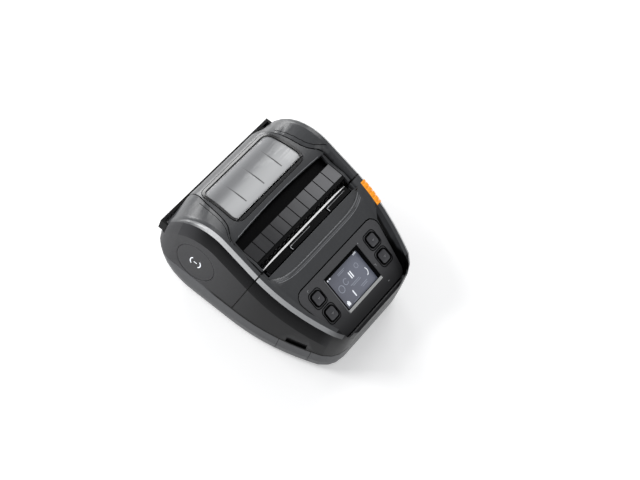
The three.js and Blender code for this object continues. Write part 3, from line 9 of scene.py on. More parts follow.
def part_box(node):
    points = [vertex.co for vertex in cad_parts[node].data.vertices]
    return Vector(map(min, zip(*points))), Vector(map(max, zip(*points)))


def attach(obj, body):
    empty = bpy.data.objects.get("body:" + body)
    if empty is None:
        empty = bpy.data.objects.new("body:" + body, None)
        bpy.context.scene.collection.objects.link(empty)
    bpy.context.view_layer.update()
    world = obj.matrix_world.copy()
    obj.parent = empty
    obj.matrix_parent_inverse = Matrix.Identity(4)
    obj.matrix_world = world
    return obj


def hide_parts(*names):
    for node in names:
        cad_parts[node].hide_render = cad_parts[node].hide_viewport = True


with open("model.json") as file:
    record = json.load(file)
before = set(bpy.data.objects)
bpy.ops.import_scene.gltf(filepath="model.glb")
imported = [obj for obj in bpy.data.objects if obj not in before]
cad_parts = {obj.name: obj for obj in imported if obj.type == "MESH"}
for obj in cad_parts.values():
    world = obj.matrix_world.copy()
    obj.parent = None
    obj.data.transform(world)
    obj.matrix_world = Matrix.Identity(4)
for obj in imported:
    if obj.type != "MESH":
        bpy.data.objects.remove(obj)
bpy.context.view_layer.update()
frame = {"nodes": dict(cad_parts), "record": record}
nodes = frame["nodes"]
bodies = frame["record"]["behaviour"]["bodies"]
slots = {row["node"]: row["material_slot"] for row in frame["record"]["subparts"]}
bodyOf = {node: body for body, members in bodies.items() for node in members}
mm = 0.001
print("frame loaded,", len(nodes), "nodes")


# Shader maths: a socket that takes the usual operators
class Wire:
    def __init__(self, finish, socket):
        self.finish = finish
        self.socket = socket

    def maths(self, operation, first, second=0.0):
        return self.finish.node("ShaderNodeMath", {"operation": operation}, {0: first, 1: second})

    def __abs__(self):
        return self.maths("ABSOLUTE", self)


# Each operator makes a maths node, some of them also with a plain number on the left
operators = {
    "add": "ADD", "sub": "SUBTRACT", "mul": "MULTIPLY", "truediv": "DIVIDE", "pow": "POWER",
    "gt": "GREATER_THAN", "lt": "LESS_THAN",
}
for word, operation in operators.items():
    setattr(Wire, f"__{word}__", lambda self, other, kind=operation: self.maths(kind, self, other))
for word in ("add", "sub", "mul"):
    setattr(Wire, f"__r{word}__", lambda self, other, kind=operators[word]: self.maths(kind, other, self))


class Finish:
    def __init__(self, name):
        self.material = bpy.data.materials.new(name)
        self.material.use_nodes = True
        self.tree = self.material.node_tree
        self.tree.nodes.clear()
        self.shader = self.tree.nodes.new("ShaderNodeBsdfPrincipled")
        output = self.tree.nodes.new("ShaderNodeOutputMaterial")
        self.tree.links.new(self.shader.outputs["BSDF"], output.inputs["Surface"])
        self.coords = self.node("ShaderNodeTexCoord", {}, {}, "Object")

    def node(self, kind, settings, sockets, output=0):
        made = self.tree.nodes.new(kind)
        for key, value in settings.items():
            setattr(made, key, value)
        for key, value in sockets.items():
            self.plug(made.inputs[key], value)
        return Wire(self, made.outputs[output])

    def plug(self, socket, value):
        if isinstance(value, Wire):
            self.tree.links.new(value.socket, socket)
        else:
            socket.default_value = value

    def set(self, **values):
        for key, value in values.items():
            words = "".join(" " + c if c.isupper() else c for c in key).strip()
            self.plug(self.shader.inputs[words[0].upper() + words[1:]], value)
        return self

    def axes(self):
        kinds = ("X", "Y", "Z")
        return [self.node("ShaderNodeSeparateXYZ", {}, {0: self.coords}, axis) for axis in kinds]

    def stretched(self, scale):
        return self.node("ShaderNodeMapping", {}, {"Vector": self.coords, "Scale": scale})

    def noise(self, scale, detail=2.0, rough=0.5, vector=None):
        sockets = {"Vector": vector or self.coords, "Scale": scale, "Detail": detail, "Roughness": rough}
        return self.node("ShaderNodeTexNoise", {}, sockets)

    def cells(self, scale):
        return self.node("ShaderNodeTexVoronoi", {}, {"Vector": self.coords, "Scale": scale}, "Distance")

    def folded(self, value, pitch):
        return self.node("ShaderNodeMath", {"operation": "PINGPONG"}, {0: value, 1: pitch})

    def gloss(self, level):
        self.shader.inputs["Specular IOR Level"].default_value = level

    def smooth(self, value, low, high):
        sockets = {0: value, 1: low, 2: high, 3: 0.0, 4: 1.0}
        return self.node("ShaderNodeMapRange", {"interpolation_type": "SMOOTHSTEP"}, sockets)

    def ramp(self, value, ends):
        return self.smooth(value, ends[0] * mm, ends[1] * mm)

    def mix(self, factor, first, second):
        return self.node("ShaderNodeMix", {"data_type": "RGBA"}, {0: factor, 6: first, 7: second}, 2)

    def rounded(self, radius):
        return self.node("ShaderNodeBevel", {"samples": 6}, {"Radius": radius})

    def edges(self, radius, low=0.03, high=0.3):
        normal = self.node("ShaderNodeNewGeometry", {}, {}, "Normal")
        sockets = {0: self.rounded(radius), 1: normal}
        same = self.node("ShaderNodeVectorMath", {"operation": "DOT_PRODUCT"}, sockets, "Value")
        return self.smooth(1.0 - same, low, high)

    def bump(self, height, depth, strength, normal=None):
        sockets = {"Height": height, "Distance": depth, "Strength": strength}
        if normal:
            sockets["Normal"] = normal
        return self.node("ShaderNodeBump", {}, sockets)


def tone(code):
    values = [int(code[i:i + 2], 16) / 255 for i in (0, 2, 4)]
    linear = [v / 12.92 if v <= 0.04045 else ((v + 0.055) / 1.055) ** 2.4 for v in values]
    return (*linear, 1.0)


def scaled(colour, share):
    return (*(min(1.0, c * share) for c in colour[:3]), 1.0)


# Moulded plastics: a fine spark texture, slow shade changes, and lighter edges that are partly wear and
# partly painted highlight
plastics = {
    "housing": dict(colour="3f4042", edge="6e6f72", rough=0.33, grain=1500, depth=0.03, bevel=0.5,
                    joints=True),
    # Side: painted shade that makes it darker toward the front
    "side": dict(colour="39393b", edge="5c5d60", rough=0.4, grain=1500, depth=0.03, bevel=0.5, joints=True,
                 darker="121214", shaded=(52.0, -30.0), gloss=0.26),
    "lower": dict(colour="58595b", edge="6c6d70", rough=0.4, grain=1500, depth=0.03, bevel=0.5, joints=True,
                  gloss=0.25),
    "cover": dict(colour="3c3d3f", edge="747578", rough=0.32, grain=1500, depth=0.03, bevel=0.5),
    # Near-black painted shade for the cover's risers, grooves, key sides, rings round the keys and gaps
    # between shells
    "riser": dict(colour="030304", edge="0d0d0e", rough=0.5, grain=1500, depth=0.02, bevel=0.2, gloss=0.02),
    # Band: near-black painted shade on the steep face under the rail's edge
    "band": dict(colour="0d0d0f", edge="2a2b2d", rough=0.36, grain=1900, depth=0.02, bevel=0.4,
                 into="39393b", joints=True, gloss=0.1),
    # Chamfer: near-white painted highlight along the rail's edge, brighter to the rear
    "chamfer": dict(colour="cacbcc", edge="d2d3d5", rough=0.28, grain=2200, depth=0.01, bevel=0.4,
                    into="4a4b4d", joints=True, darker="98999b"),
    # Rail's inner wall: painted darker as shade, with a near-black painted trench shade beside the panel
    "railWall": dict(colour="303133", edge="4a4b4d", rough=0.38, grain=1500, depth=0.03, bevel=0.4,
                     gloss=0.15, trench=True),
    # Nose: painted dark as shade
    "nose": dict(colour="111113", edge="3c3d3f", rough=0.36, grain=1900, depth=0.02, bevel=0.4, gloss=0.3),
    # Panel: painted shade that makes it darker toward the front
    "panel": dict(colour="505052", edge="666769", rough=0.42, grain=1900, depth=0.03, bevel=0.4,
                  darker="161618", shaded=(-58.0, -86.0), gloss=0.3),
    "blackPlastic": dict(colour="040405", edge="1c1c1e", rough=0.36, grain=1800, depth=0.015, bevel=0.25,
                         gloss=0.05),
    "barBlack": dict(colour="0a0a0b", edge="3a3a3c", rough=0.4, grain=1500, depth=0.02, bevel=0.3,
                     gloss=0.12),
    "frameRing": dict(colour="101011", edge="8c8f93", rough=0.28, grain=2200, depth=0.01, bevel=0.35),
    "key": dict(colour="4b4b4e", edge="b4b5b8", rough=0.4, grain=2400, depth=0.015, bevel=0.7, gloss=0.35),
    # The latch's glow is painted light that makes its orange brighter
    "latch": dict(colour="ff9c1c", edge="ffc266", rough=0.34, grain=2100, depth=0.015, bevel=0.5, glow=0.3),
    "battery": dict(colour="1c1c1e", edge="333436", rough=0.5, grain=1200, depth=0.04, bevel=0.4, gloss=0.3),
    "gear": dict(colour="d3d2c9", edge="e8e7df", rough=0.45, grain=1400, depth=0.01, bevel=0.15),
}

# Where the rail's painted dark band and painted bright chamfer run out into the housing, and the painted
# shade along the joints of the shells, wider than their real gaps
bodyLines = dict(
    rear=(44.0, 68.0), front=(-68.0, -84.0), partingZ=22.5, partingRear=(34.0, 18.0), lean=0.157,
    jointZ=44.0, half=0.8, partingHalf=1.6, soft=0.25, shade="020202",
)

# Painted shade along the control panel's right edge, at the foot of the rail, where the rail's inner wall is
# in shadow
trenchShade = dict(startX=67.6, slope=0.257, near=(0.1, 0.4), far=(3.3, 2.5), shade="020202")


def trenchShadeMask(finish, x, y, look=trenchShade):
    out = x - y * look["slope"] - look["startX"] * mm
    return finish.ramp(out, look["near"]) * finish.ramp(out, look["far"])


def runOut(finish, y, look=bodyLines):
    rear = finish.ramp(y, look["rear"])
    front = finish.ramp(y, look["front"])
    return rear.maths("MAXIMUM", rear, front)


# Painted shade along the parting line and the front-to-rear joint, wider than the real gaps
def jointShadeLines(finish, y, z, look=bodyLines):
    soft = look["soft"] * mm
    wide, narrow = look["partingHalf"] * mm, look["half"] * mm
    parting = finish.smooth(abs(z - look["partingZ"] * mm), wide, wide - soft)
    parting = parting * finish.ramp(y, look["partingRear"])
    joint = finish.smooth(abs(y + look["lean"] * (z - look["jointZ"] * mm)), narrow, narrow - soft)
    joint = joint * (z > look["partingZ"] * mm)
    return parting.maths("MAXIMUM", parting, joint)


def shades(colour, spread=(0.86, 1.14)):
    return [scaled(tone(colour), share) for share in spread]


def moulded(name, colour, edge, rough, grain, depth, bevel, into=None, joints=False, darker=None,
            shaded=(45.0, -80.0), gloss=0.5, glow=0.0, trench=False):
    finish = Finish(name)
    slow = finish.noise(38.0, 3.0)
    fine = finish.noise(grain, 2.0, 0.6)
    speck = finish.smooth(finish.noise(grain * 0.35, 1.0), 0.45, 0.75)
    # Lighter edges: partly wear, partly painted highlight
    wearAndEdgeHighlight = finish.edges(bevel * mm) * (0.35 + 0.5 * finish.noise(220.0, 3.0))
    shade = finish.mix(slow * 0.7 + speck * 0.3, *shades(colour))
    x, y, z = finish.axes()
    # Darker toward one end: painted shade toward the front on the side and panel; on the chamfer, a painted
    # highlight brighter at the rear
    if darker:
        ahead = finish.ramp(y, shaded)
        shade = finish.mix(ahead, shade, finish.mix(slow, *shades(darker)))
    # The band's painted shade and the chamfer's painted highlight fade into the housing's colour at both ends
    if into:
        shade = finish.mix(runOut(finish, y), shade, finish.mix(slow, *shades(into)))
    shade = finish.mix(wearAndEdgeHighlight, shade, tone(edge))
    if joints:
        shade = finish.mix(jointShadeLines(finish, y, z), shade, tone(bodyLines["shade"]))
    if trench:
        shade = finish.mix(trenchShadeMask(finish, x, y), shade, tone(trenchShade["shade"]))
    height = fine * 0.7 + finish.cells(grain * 0.6) * 0.3
    normal = finish.bump(height, depth * mm, 0.55, finish.rounded(bevel * mm))
    finish.gloss(gloss)
    # Emission here is painted glow on a part that is no lamp
    if glow:
        finish.set(emissionColor=shade, emissionStrength=glow)
    return finish.set(baseColor=shade, roughness=rough + 0.12 * (slow - 0.5) - 0.06 * wearAndEdgeHighlight, normal=normal)


made = {name: moulded(name, **values) for name, values in plastics.items()}

# Metals: brushed along one axis, with a little haze
metals = {
    "steel": dict(colour="c3c6ca", rough=0.28, stretch=(1, 90, 90)),
    "darkSteel": dict(colour="6a6d72", rough=0.4, stretch=(90, 1, 90)),
    "blackSteel": dict(colour="242426", rough=0.45, stretch=(90, 1, 90)),
}


def brushed(name, colour, rough, stretch):
    finish = Finish(name)
    lines = finish.noise(60.0, 4.0, 0.6, finish.stretched(stretch))
    haze = finish.noise(90.0, 3.0)
    base = tone(colour)
    normal = finish.bump(lines, 0.01 * mm, 0.5, finish.rounded(0.15 * mm))
    shade = finish.mix(lines * 0.6 + haze * 0.4, scaled(base, 0.8), base)
    return finish.set(baseColor=shade, metallic=1.0, roughness=rough + 0.2 * (haze - 0.5), normal=normal)


made.update({name: brushed(name, **values) for name, values in metals.items()})


def rubberFinish():
    finish = Finish("groundRubber")
    lines = finish.noise(900.0, 3.0, 0.6, finish.stretched((0.15, 1, 1)))
    dust = finish.smooth(finish.noise(400.0, 4.0), 0.5, 0.8)
    shade = finish.mix(dust * 0.5, tone("1b1b1d"), tone("38383a"))
    return finish.set(baseColor=shade, roughness=0.82 + 0.1 * dust, normal=finish.bump(lines, 0.02 * mm, 0.5))


def boardFinish():
    finish = Finish("solderMask")
    traces = finish.node(
        "ShaderNodeTexBrick",
        {"offset": 0.35, "squash": 1.7},
        {"Vector": finish.coords, "Scale": 260.0, "Mortar Size": 0.03, "Mortar Smooth": 0.2},
        "Fac",
    )
    pads = finish.smooth(finish.cells(330.0), 0.12, 0.08)
    shade = finish.mix(traces * 0.7, tone("12492a"), tone("23693d"))
    shade = finish.mix(pads * 0.9, shade, tone("c9b06a"))
    height = traces * 0.4 + pads
    return finish.set(
        baseColor=shade,
        metallic=pads * 0.9,
        roughness=0.35 + 0.1 * finish.noise(300.0),
        normal=finish.bump(height, 0.04 * mm, 0.6),
    )


# Wound paper, whose layers show as fine rings on the roll's two end faces
paperLook = dict(faceX=(49.4, 49.8), layer=0.22, layerEdge=(0.02, 0.16))


def paperFinish(middle, look):
    finish = Finish("woundPaper")
    x, y, z = finish.axes()
    out = ((y - middle[1]) ** 2.0 + (z - middle[2]) ** 2.0) ** 0.5
    layer = finish.ramp(finish.folded(out, look["layer"] * mm), look["layerEdge"])
    face = finish.ramp(abs(x), look["faceX"])
    fibre = finish.noise(700.0, 4.0, 0.6)
    shade = finish.mix(fibre * 0.35, tone("f4f3ee"), tone("e2dfd4"))
    shade = finish.mix(face * layer * 0.45, shade, tone("bdb9aa"))
    normal = finish.bump(fibre * 0.3 + face * layer, 0.05 * mm, 0.6)
    return finish.set(baseColor=shade, roughness=0.72 + 0.1 * fibre, normal=normal)


def cardFinish():
    finish = Finish("coreCard")
    fibre = finish.noise(500.0, 5.0, 0.65, finish.stretched((0.3, 1, 1)))
    wrap = finish.node("ShaderNodeTexWave", {"wave_type": "BANDS"}, {"Scale": 40.0, "Distortion": 1.5}, 1)
    shade = finish.mix(fibre, tone("a9835a"), tone("c7a57b"))
    return finish.set(baseColor=shade, roughness=0.85, normal=finish.bump(fibre + wrap * 0.2, 0.05 * mm, 0.6))


# Smoked window: satin plastic that shows the roll a little, with a painted glare that makes it lighter to the
# front, painted shade that makes it greyer to the rear and darker in a band over the roll's top, and painted
# shade in its grooves
windowLook = dict(
    lines=(-25.0, 0.0, 25.0), line=(0.36, 0.9), fadeIn=(44.4, 45.0), fadeOut=(68.0, 51.0), lineShade="1f1f20",
    lineStrength=0.85, front="bcbdbe", rear="747577", shadeY=(46.0, 66.0), bandY=64.0, bandReach=(9.0, 1.0),
    bandStrength=0.55, band="57585a", rough=0.34, alpha=0.9, coat=0.25,
)


def windowFinish(look):
    finish = Finish("smokedWindow")
    x, y = finish.axes()[:2]
    along = finish.ramp(y, look["shadeY"])
    cloud = finish.noise(24.0, 3.0, 0.5, finish.stretched((0.5, 1.4, 1)))
    # Painted glare toward the front, painted shade toward the rear and in a band over the roll's top
    shade = finish.mix(along * 0.8 + 0.25 * (cloud - 0.4), tone(look["front"]), tone(look["rear"]))
    band = finish.ramp(abs(y - look["bandY"] * mm), look["bandReach"])
    shade = finish.mix(band * look["bandStrength"], shade, tone(look["band"]))
    nearest = 1.0
    for place in look["lines"]:
        nearest = nearest * finish.ramp(abs(x - place * mm), look["line"])
    fade = finish.ramp(y, look["fadeOut"]) * finish.ramp(y, look["fadeIn"])
    shade = finish.mix((1.0 - nearest) * fade * look["lineStrength"], shade, tone(look["lineShade"]))
    satin = finish.noise(2600.0, 2.0)
    clear = look["alpha"] + 0.1 * along
    normal = finish.bump(satin, 0.01 * mm, 0.5, finish.rounded(0.3 * mm))
    finish.set(baseColor=shade, roughness=look["rough"] + 0.1 * cloud, alpha=clear, normal=normal)
    return finish.set(coatWeight=look["coat"])


# Display: blue-grey glass with a dim pixel grid
screenLook = dict(
    pitch=0.16, line=(0.01, 0.06), halfX=26.0, left="65666f", right="7b7e8b", grid="8a8d98",
    glowLeft="343741", glowRight="424856", glow=0.35, coat=0.6,
)


def screenFinish(look):
    finish = Finish("displayGlass")
    x, y = finish.axes()[:2]
    cloud = finish.noise(45.0, 3.0)
    columns, rows = (
        finish.ramp(finish.folded(axis, look["pitch"] * mm), look["line"]) for axis in (x, y)
    )
    ends = finish.smooth(x, -look["halfX"] * mm, look["halfX"] * mm)
    shade = finish.mix(cloud * 0.5 + ends * 0.5, tone(look["left"]), tone(look["right"]))
    shade = finish.mix(columns * rows * 0.2, shade, tone(look["grid"]))
    glow = finish.mix(ends, tone(look["glowLeft"]), tone(look["glowRight"]))
    finish.set(baseColor=shade, roughness=0.16 + 0.05 * cloud, coatWeight=look["coat"])
    return finish.set(emissionColor=glow, emissionStrength=look["glow"])


def markFinish(name, colour, glow=0.0):
    finish = Finish(name)
    soft = finish.noise(1500.0, 2.0)
    shade = finish.mix(soft, scaled(tone(colour), 0.85), tone(colour))
    if glow:
        finish.set(emissionColor=shade, emissionStrength=glow)
    return finish.set(baseColor=shade, roughness=0.45 + 0.1 * soft, normal=finish.bump(soft, 0.01 * mm, 0.3))


# The comb's strip of grey cells, with painted light that makes it lighter to the right, painted highlights on
# its edges and painted shade in its grooves
combLook = dict(
    cells=10, grooveHalf=0.5, groove="050506", shadeX=(-66.0, 64.0), curve=1.3, left="29292b", right="7c7c7e",
    edge="7b7b7d", gloss=0.2,
)


def combFinish(look):
    finish = Finish("combGrey")
    x = finish.axes()[0]
    low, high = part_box("comb_panel")
    pitch = (high.x - low.x) / look["cells"]
    place = (x - low.x) / pitch
    fromGroove = abs(place - place.maths("ROUND", place)) * pitch
    # Painted light, lighter toward the right
    across = finish.ramp(x, look["shadeX"]) ** look["curve"]
    fine = finish.noise(1900.0, 2.0, 0.6)
    scuff = finish.noise(70.0, 4.0, 0.6, finish.stretched((1, 0.2, 1)))
    shade = finish.mix(across * 0.8 + 0.25 * (scuff - 0.5), tone(look["left"]), tone(look["right"]))
    # Painted highlight on the cell edges and painted shade in the grooves
    shade = finish.mix(finish.edges(0.3 * mm) * 0.5, shade, tone(look["edge"]))
    shade = finish.mix(fromGroove < look["grooveHalf"] * mm, shade, tone(look["groove"]))
    normal = finish.bump(fine, 0.02 * mm, 0.5, finish.rounded(0.25 * mm))
    finish.gloss(look["gloss"])
    return finish.set(baseColor=shade, roughness=0.42 + 0.14 * (scuff - 0.5), normal=normal)


# Tear bar: one bright strip, a painted highlight that is white and glows, dull elsewhere
tearLook = dict(
    front=-1.95, rear=-0.5, halfX=60.0, taper=1.4, power=6, bright="ffffff", lined="c8c8c6", dull="101011",
    glow=0.45,
)


def tearFinish(look):
    finish = Finish("tearSteel")
    x, y = finish.axes()[:2]
    lines = finish.noise(70.0, 4.0, 0.6, finish.stretched((1, 140, 140)))
    narrowed = (abs(x) / (look["halfX"] * mm)) ** look["power"] * (look["taper"] * mm)
    # The bright ground strip is a painted highlight, also given painted glow
    ground = (y > look["front"] * mm) * (y + narrowed < look["rear"] * mm)
    metal = finish.mix(lines * 0.2, tone(look["bright"]), tone(look["lined"]))
    shade = finish.mix(ground, tone(look["dull"]), metal)
    normal = finish.bump(lines, 0.008 * mm, 0.4)
    glow = finish.mix(ground, tone("000000"), tone(look["bright"]))
    finish.set(emissionColor=glow, emissionStrength=look["glow"])
    return finish.set(baseColor=shade, metallic=0.1, roughness=0.3 + 0.15 * lines, normal=normal)


rollLow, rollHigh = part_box("label_roll")
made["rubber"] = rubberFinish()
made["board"] = boardFinish()
made["paper"] = paperFinish((rollLow + rollHigh) / 2, paperLook)
made["card"] = cardFinish()
made["window"] = windowFinish(windowLook)
made["screen"] = screenFinish(screenLook)
made["comb"] = combFinish(combLook)
made["tearSteel"] = tearFinish(tearLook)
# White marks with a painted glow, used on the display and on the left boss
made["white"] = markFinish("whiteMarks", "e9edf2", 0.6)
made["dimWhite"] = markFinish("dimMarks", "aab0bd", 0.15)
# Grey marks: print, and on the peeler flap faint painted highlights
made["greyMark"] = markFinish("printedMarksAndHighlights", "9b9c9e")
# Pale lines: painted highlights along edges
made["paleLine"] = markFinish("paleEdgeHighlights", "c4c5c7")
# Pale beads: painted highlights along edges
made["bead"] = markFinish("paleHighlightBeads", "77787b")
# Ramp grey: painted highlight on the bezel's sloped front edge
made["ramp"] = markFinish("rampHighlight", "b4b5b4")
# Lighter lip grey: painted highlight of the lip's lit slope
made["lipGrey"] = markFinish("lipGrey", "5d5e61")
print("finishes made:", len(made))


def linked(name, data):
    thing = bpy.data.objects.new(name, data)
    bpy.context.scene.collection.objects.link(thing)
    return thing


def facesOut(grid):
    bmesh.ops.recalc_face_normals(grid, faces=grid.faces[:])


def merged(grid, distance):
    bmesh.ops.remove_doubles(grid, verts=grid.verts[:], dist=distance)


def flattened(grid, limit):
    bmesh.ops.dissolve_limit(grid, angle_limit=limit, verts=grid.verts[:], edges=grid.edges[:])


# A piece from a bmesh, at the origin, riding on a body
def finished(grid, name, body, slot, finish, smoothAngle=30.0, bevel=0.0, segments=2):
    mesh = bpy.data.meshes.new(name)
    grid.normal_update()
    grid.to_mesh(mesh)
    grid.free()
    mesh.shade_smooth()
    mesh.set_sharp_from_angle(angle=math.radians(smoothAngle))
    piece = linked(name, mesh)
    for look in finish if isinstance(finish, (list, tuple)) else [finish]:
        mesh.materials.append(made[look].material)
    if bevel:
        edging = piece.modifiers.new("rounded edges", "BEVEL")
        edging.width = bevel * mm
        edging.segments = segments
        edging.limit_method = "ANGLE"
        edging.angle_limit = math.radians(35.0)
        edging.harden_normals = True
    else:
        weigh = piece.modifiers.new("even faces", "WEIGHTED_NORMAL")
        weigh.keep_sharp = True
    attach(piece, body)
    return piece


# A merged copy of a CAD node's mesh
def copied(node, flatten=0.4):
    grid = bmesh.new()
    grid.from_mesh(nodes[node].data)
    merged(grid, 0.00001)
    if flatten:
        flattened(grid, math.radians(flatten))
    return grid


def joined(words):
    return words.title().replace("_", "")


def camel(node):
    return node[0] + joined(node)[1:]


# A CAD node's piece, sorted into zones of its own finish where it has several
def dressed(node, finish, sort=None, sunk=0.0, **how):
    grid = copied(node)
    if sunk:
        least = min(vert.co.x for vert in grid.verts)
        outer = [vert for vert in grid.verts if vert.co.x < least + 0.01 * mm]
        bmesh.ops.translate(grid, verts=outer, vec=(sunk * mm, 0, 0))
    if sort:
        grid.normal_update()
        for face in grid.faces:
            face.material_index = sort(face.calc_center_median() / mm, face.normal)
    piece = finished(grid, camel(node), bodyOf[node], slots[node], finish, **how)
    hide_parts(node)


# The control panel's own plane: x across, y up the slope, z out of it
panelSeat = dict(slope=0.41, y=-35.0, z=59.8)
panelAngle = math.atan(panelSeat["slope"])
panelPlane = Matrix.Translation((0, panelSeat["y"] * mm, panelSeat["z"] * mm))
panelPlane = panelPlane @ Matrix.Rotation(panelAngle, 4, "X")


def upPanel(y):
    return (y - panelSeat["y"]) / math.cos(panelAngle)


def panelTop(node):
    return max((panelPlane.inverted() @ vert.co).z for vert in nodes[node].data.vertices) / mm


# Side profile of the body in millimetres, with the numbers of the part's own source
sideProfile = dict(
    barrelY=43.5, barrelZ=42.5, radius=42.5, slope=0.285, halfLength=89.0, noseDrop=11.0, noseRun=12.0,
)


def ridgeHeight(y, shape=sideProfile):
    angle = math.atan(shape["slope"])
    tangentY = shape["barrelY"] - shape["radius"] * math.sin(angle)
    tangentZ = shape["barrelZ"] + shape["radius"] * math.cos(angle)
    if y > tangentY:
        reach = min(abs(y - shape["barrelY"]), shape["radius"])
        return shape["barrelZ"] + math.sqrt(shape["radius"] ** 2 - reach ** 2)
    start = min(max((y + shape["halfLength"]) / shape["noseRun"], 0.0), 1.0)
    drop = 1.0 - math.sqrt(max(0.0, 1.0 - (1.0 - start) ** 2))
    return tangentZ - shape["slope"] * (tangentY - y) - shape["noseDrop"] * drop


# Where the body's zones lie, in millimetres, and how far their faces turn, as parts of the normal
zones = dict(
    grooveY=(-87.0, -32.0), grooveZ=20.0, grooveDepth=0.5, panelEndY=-84.5, panelEndX=48.0, panelSpread=0.26,
    wallX=44.0, wallY=(-86.0, -36.0), wallIn=0.4, railX=48.0, railOut=0.2, railEndY=70.0,
    chamferUp=0.45, chamferDrop=3.4, noseY=-78.0, noseAhead=0.35, bandUp=0.02, bandOut=0.7, bandDrop=17.0,
    sideOut=0.8,
)


# 0 the body, 1 the band under the rail's edge, painted dark as shade, 2 the chamfer, painted bright as a
# highlight, 3 the side,
# 4 the nose, painted dark as shade, 5 a groove, painted dark as shade, 6 the right rail's inner wall, painted
# dark as shade
def bodyZone(centre, normal, look=zones):
    outward = normal.x * math.copysign(1.0, centre.x)
    drop = ridgeHeight(centre.y) - centre.z
    panelHalf = look["panelEndX"] + (centre.y - look["panelEndY"]) * look["panelSpread"]
    height = (panelPlane.inverted() @ (centre * mm)).z / mm
    inGroove = look["grooveY"][0] < centre.y < look["grooveY"][1] and centre.z > look["grooveZ"]
    if inGroove and abs(centre.x) < panelHalf and height < -look["grooveDepth"]:
        return 5
    byWall = centre.x > look["wallX"] and look["wallY"][0] < centre.y < look["wallY"][1]
    if byWall and normal.x < -look["wallIn"]:
        return 6
    beside = abs(centre.x) > look["railX"]
    rail = beside and outward > look["railOut"] and centre.y < look["railEndY"]
    if rail and normal.z > look["chamferUp"] and drop < look["chamferDrop"]:
        return 2
    if centre.y < look["noseY"] and normal.y < -look["noseAhead"]:
        return 4
    if rail and normal.z > look["bandUp"] and outward > look["bandOut"] and drop < look["bandDrop"]:
        return 1
    return 3 if beside and outward > look["sideOut"] else 0


# The cover's stepped rim: its risers are painted dark as shade
risers = dict(up=0.45, lowZ=50.0, frontY=30.0, rearY=84.0)


def coverZone(centre, normal, look=risers):
    within = centre.z > look["lowZ"] and look["frontY"] < centre.y < look["rearY"]
    return 1 if within and abs(normal.z) < look["up"] else 0


bodyLooks = ["housing", "band", "chamfer", "side", "nose", "riser", "railWall"]
dressed("front_housing", bodyLooks, sort=bodyZone)
dressed("rear_housing", bodyLooks, sort=bodyZone)
dressed("lower_housing", "lower")
dressed("cover_shell", ["cover", "riser"], smoothAngle=26.0, sort=coverZone)
dressed("boss_cap_right", "side", bevel=0.5)
dressed("boss_cap_left", "side", bevel=0.5, sunk=0.12)
dressed("rear_bar", "barBlack", bevel=0.3)
dressed("port_cover", "lower")
dressed("window_frame", "frameRing", bevel=0.35)
dressed("control_panel", "panel", bevel=0.35)
dressed("display_bezel", "blackPlastic", bevel=0.3)
dressed("latch_button", "latch", smoothAngle=40.0)
dressed("comb_panel", "comb", bevel=0.12)
dressed("toothed_strip", "blackPlastic", bevel=0.12)
dressed("peeler_flap", "blackPlastic", bevel=0.2)
dressed("tear_bar", "tearSteel")
dressed("platen_roller", "rubber", bevel=0.2)
dressed("platen_shaft", "steel", bevel=0.15)
dressed("label_roll", "paper", smoothAngle=35.0)
dressed("roll_core", "card", smoothAngle=35.0)
dressed("roll_guide_right", "blackPlastic")
dressed("roll_guide_left", "blackPlastic")
dressed("battery_pack", "battery", bevel=0.6, segments=3)
dressed("battery_catch", "blackPlastic", bevel=0.2)
dressed("stepper_motor", "darkSteel", bevel=0.3)
print("housings and cover dressed")

# Keys: a grey top inside a sloped rim painted dark as shade
keyCaps = dict(rim=1.15, slope=0.7, bevel=0.22)


def keyPiece(corner, look):
    grid = copied("key_" + corner)
    grid.normal_update()
    up = panelPlane.to_3x3() @ Vector((0, 0, 1))
    top = max(grid.faces, key=lambda face: face.calc_center_median().dot(up) + face.normal.dot(up))
    outer = list(top.verts)
    bmesh.ops.inset_region(grid, faces=[top], thickness=look["rim"] * mm, use_even_offset=True)
    bmesh.ops.translate(grid, verts=outer, vec=-up * look["slope"] * mm)
    for face in grid.faces:
        face.material_index = 0 if face == top else 1
    name, slot = "key" + joined(corner), slots["key_" + corner]
    piece = finished(grid, name, corner + "_key", slot, ["key", "riser"], bevel=look["bevel"])
    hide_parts("key_" + corner)


for corner in ("rear_left", "rear_right", "front_left", "front_right"):
    keyPiece(corner, keyCaps)
print("keys made")

# CAD nodes whose shape is right keep it and get their finish
plainNodes = {
    "hinge_pin": "steel", "port_sockets": "blackPlastic", "platen_carrier": "blackPlastic",
    "platen_gear": "gear", "idler_gear": "gear", "motor_pinion": "steel", "side_frame_right": "blackSteel",
    "side_frame_left": "blackSteel", "print_head": "blackPlastic", "head_bracket": "darkSteel",
    "spring_plate": "darkSteel", "exit_tray": "blackPlastic", "latch_shaft": "steel",
    "display_screen": "screen", "display_module": "blackPlastic", "control_board": "board",
    "guide_pinion": "gear", "main_board": "board", "web_guide": "blackPlastic",
}
for node, look in plainNodes.items():
    if not nodes[node].material_slots:
        nodes[node].data.materials.append(made[look].material)
    for place in nodes[node].material_slots:
        place.material = made[look].material


# Window with three shallow grooves that run from front to rear and fade out
grooves = dict(
    places=(-25.0, 0.0, 25.0), half=0.55, cuts=(-1.0, -0.4, 0.4, 1.0), bottom=0.5, depth=0.45,
    frontY=45.5, rearY=70.0, steps=14, fadeIn=0.12, fadeOut=0.5, facing=0.2,
)


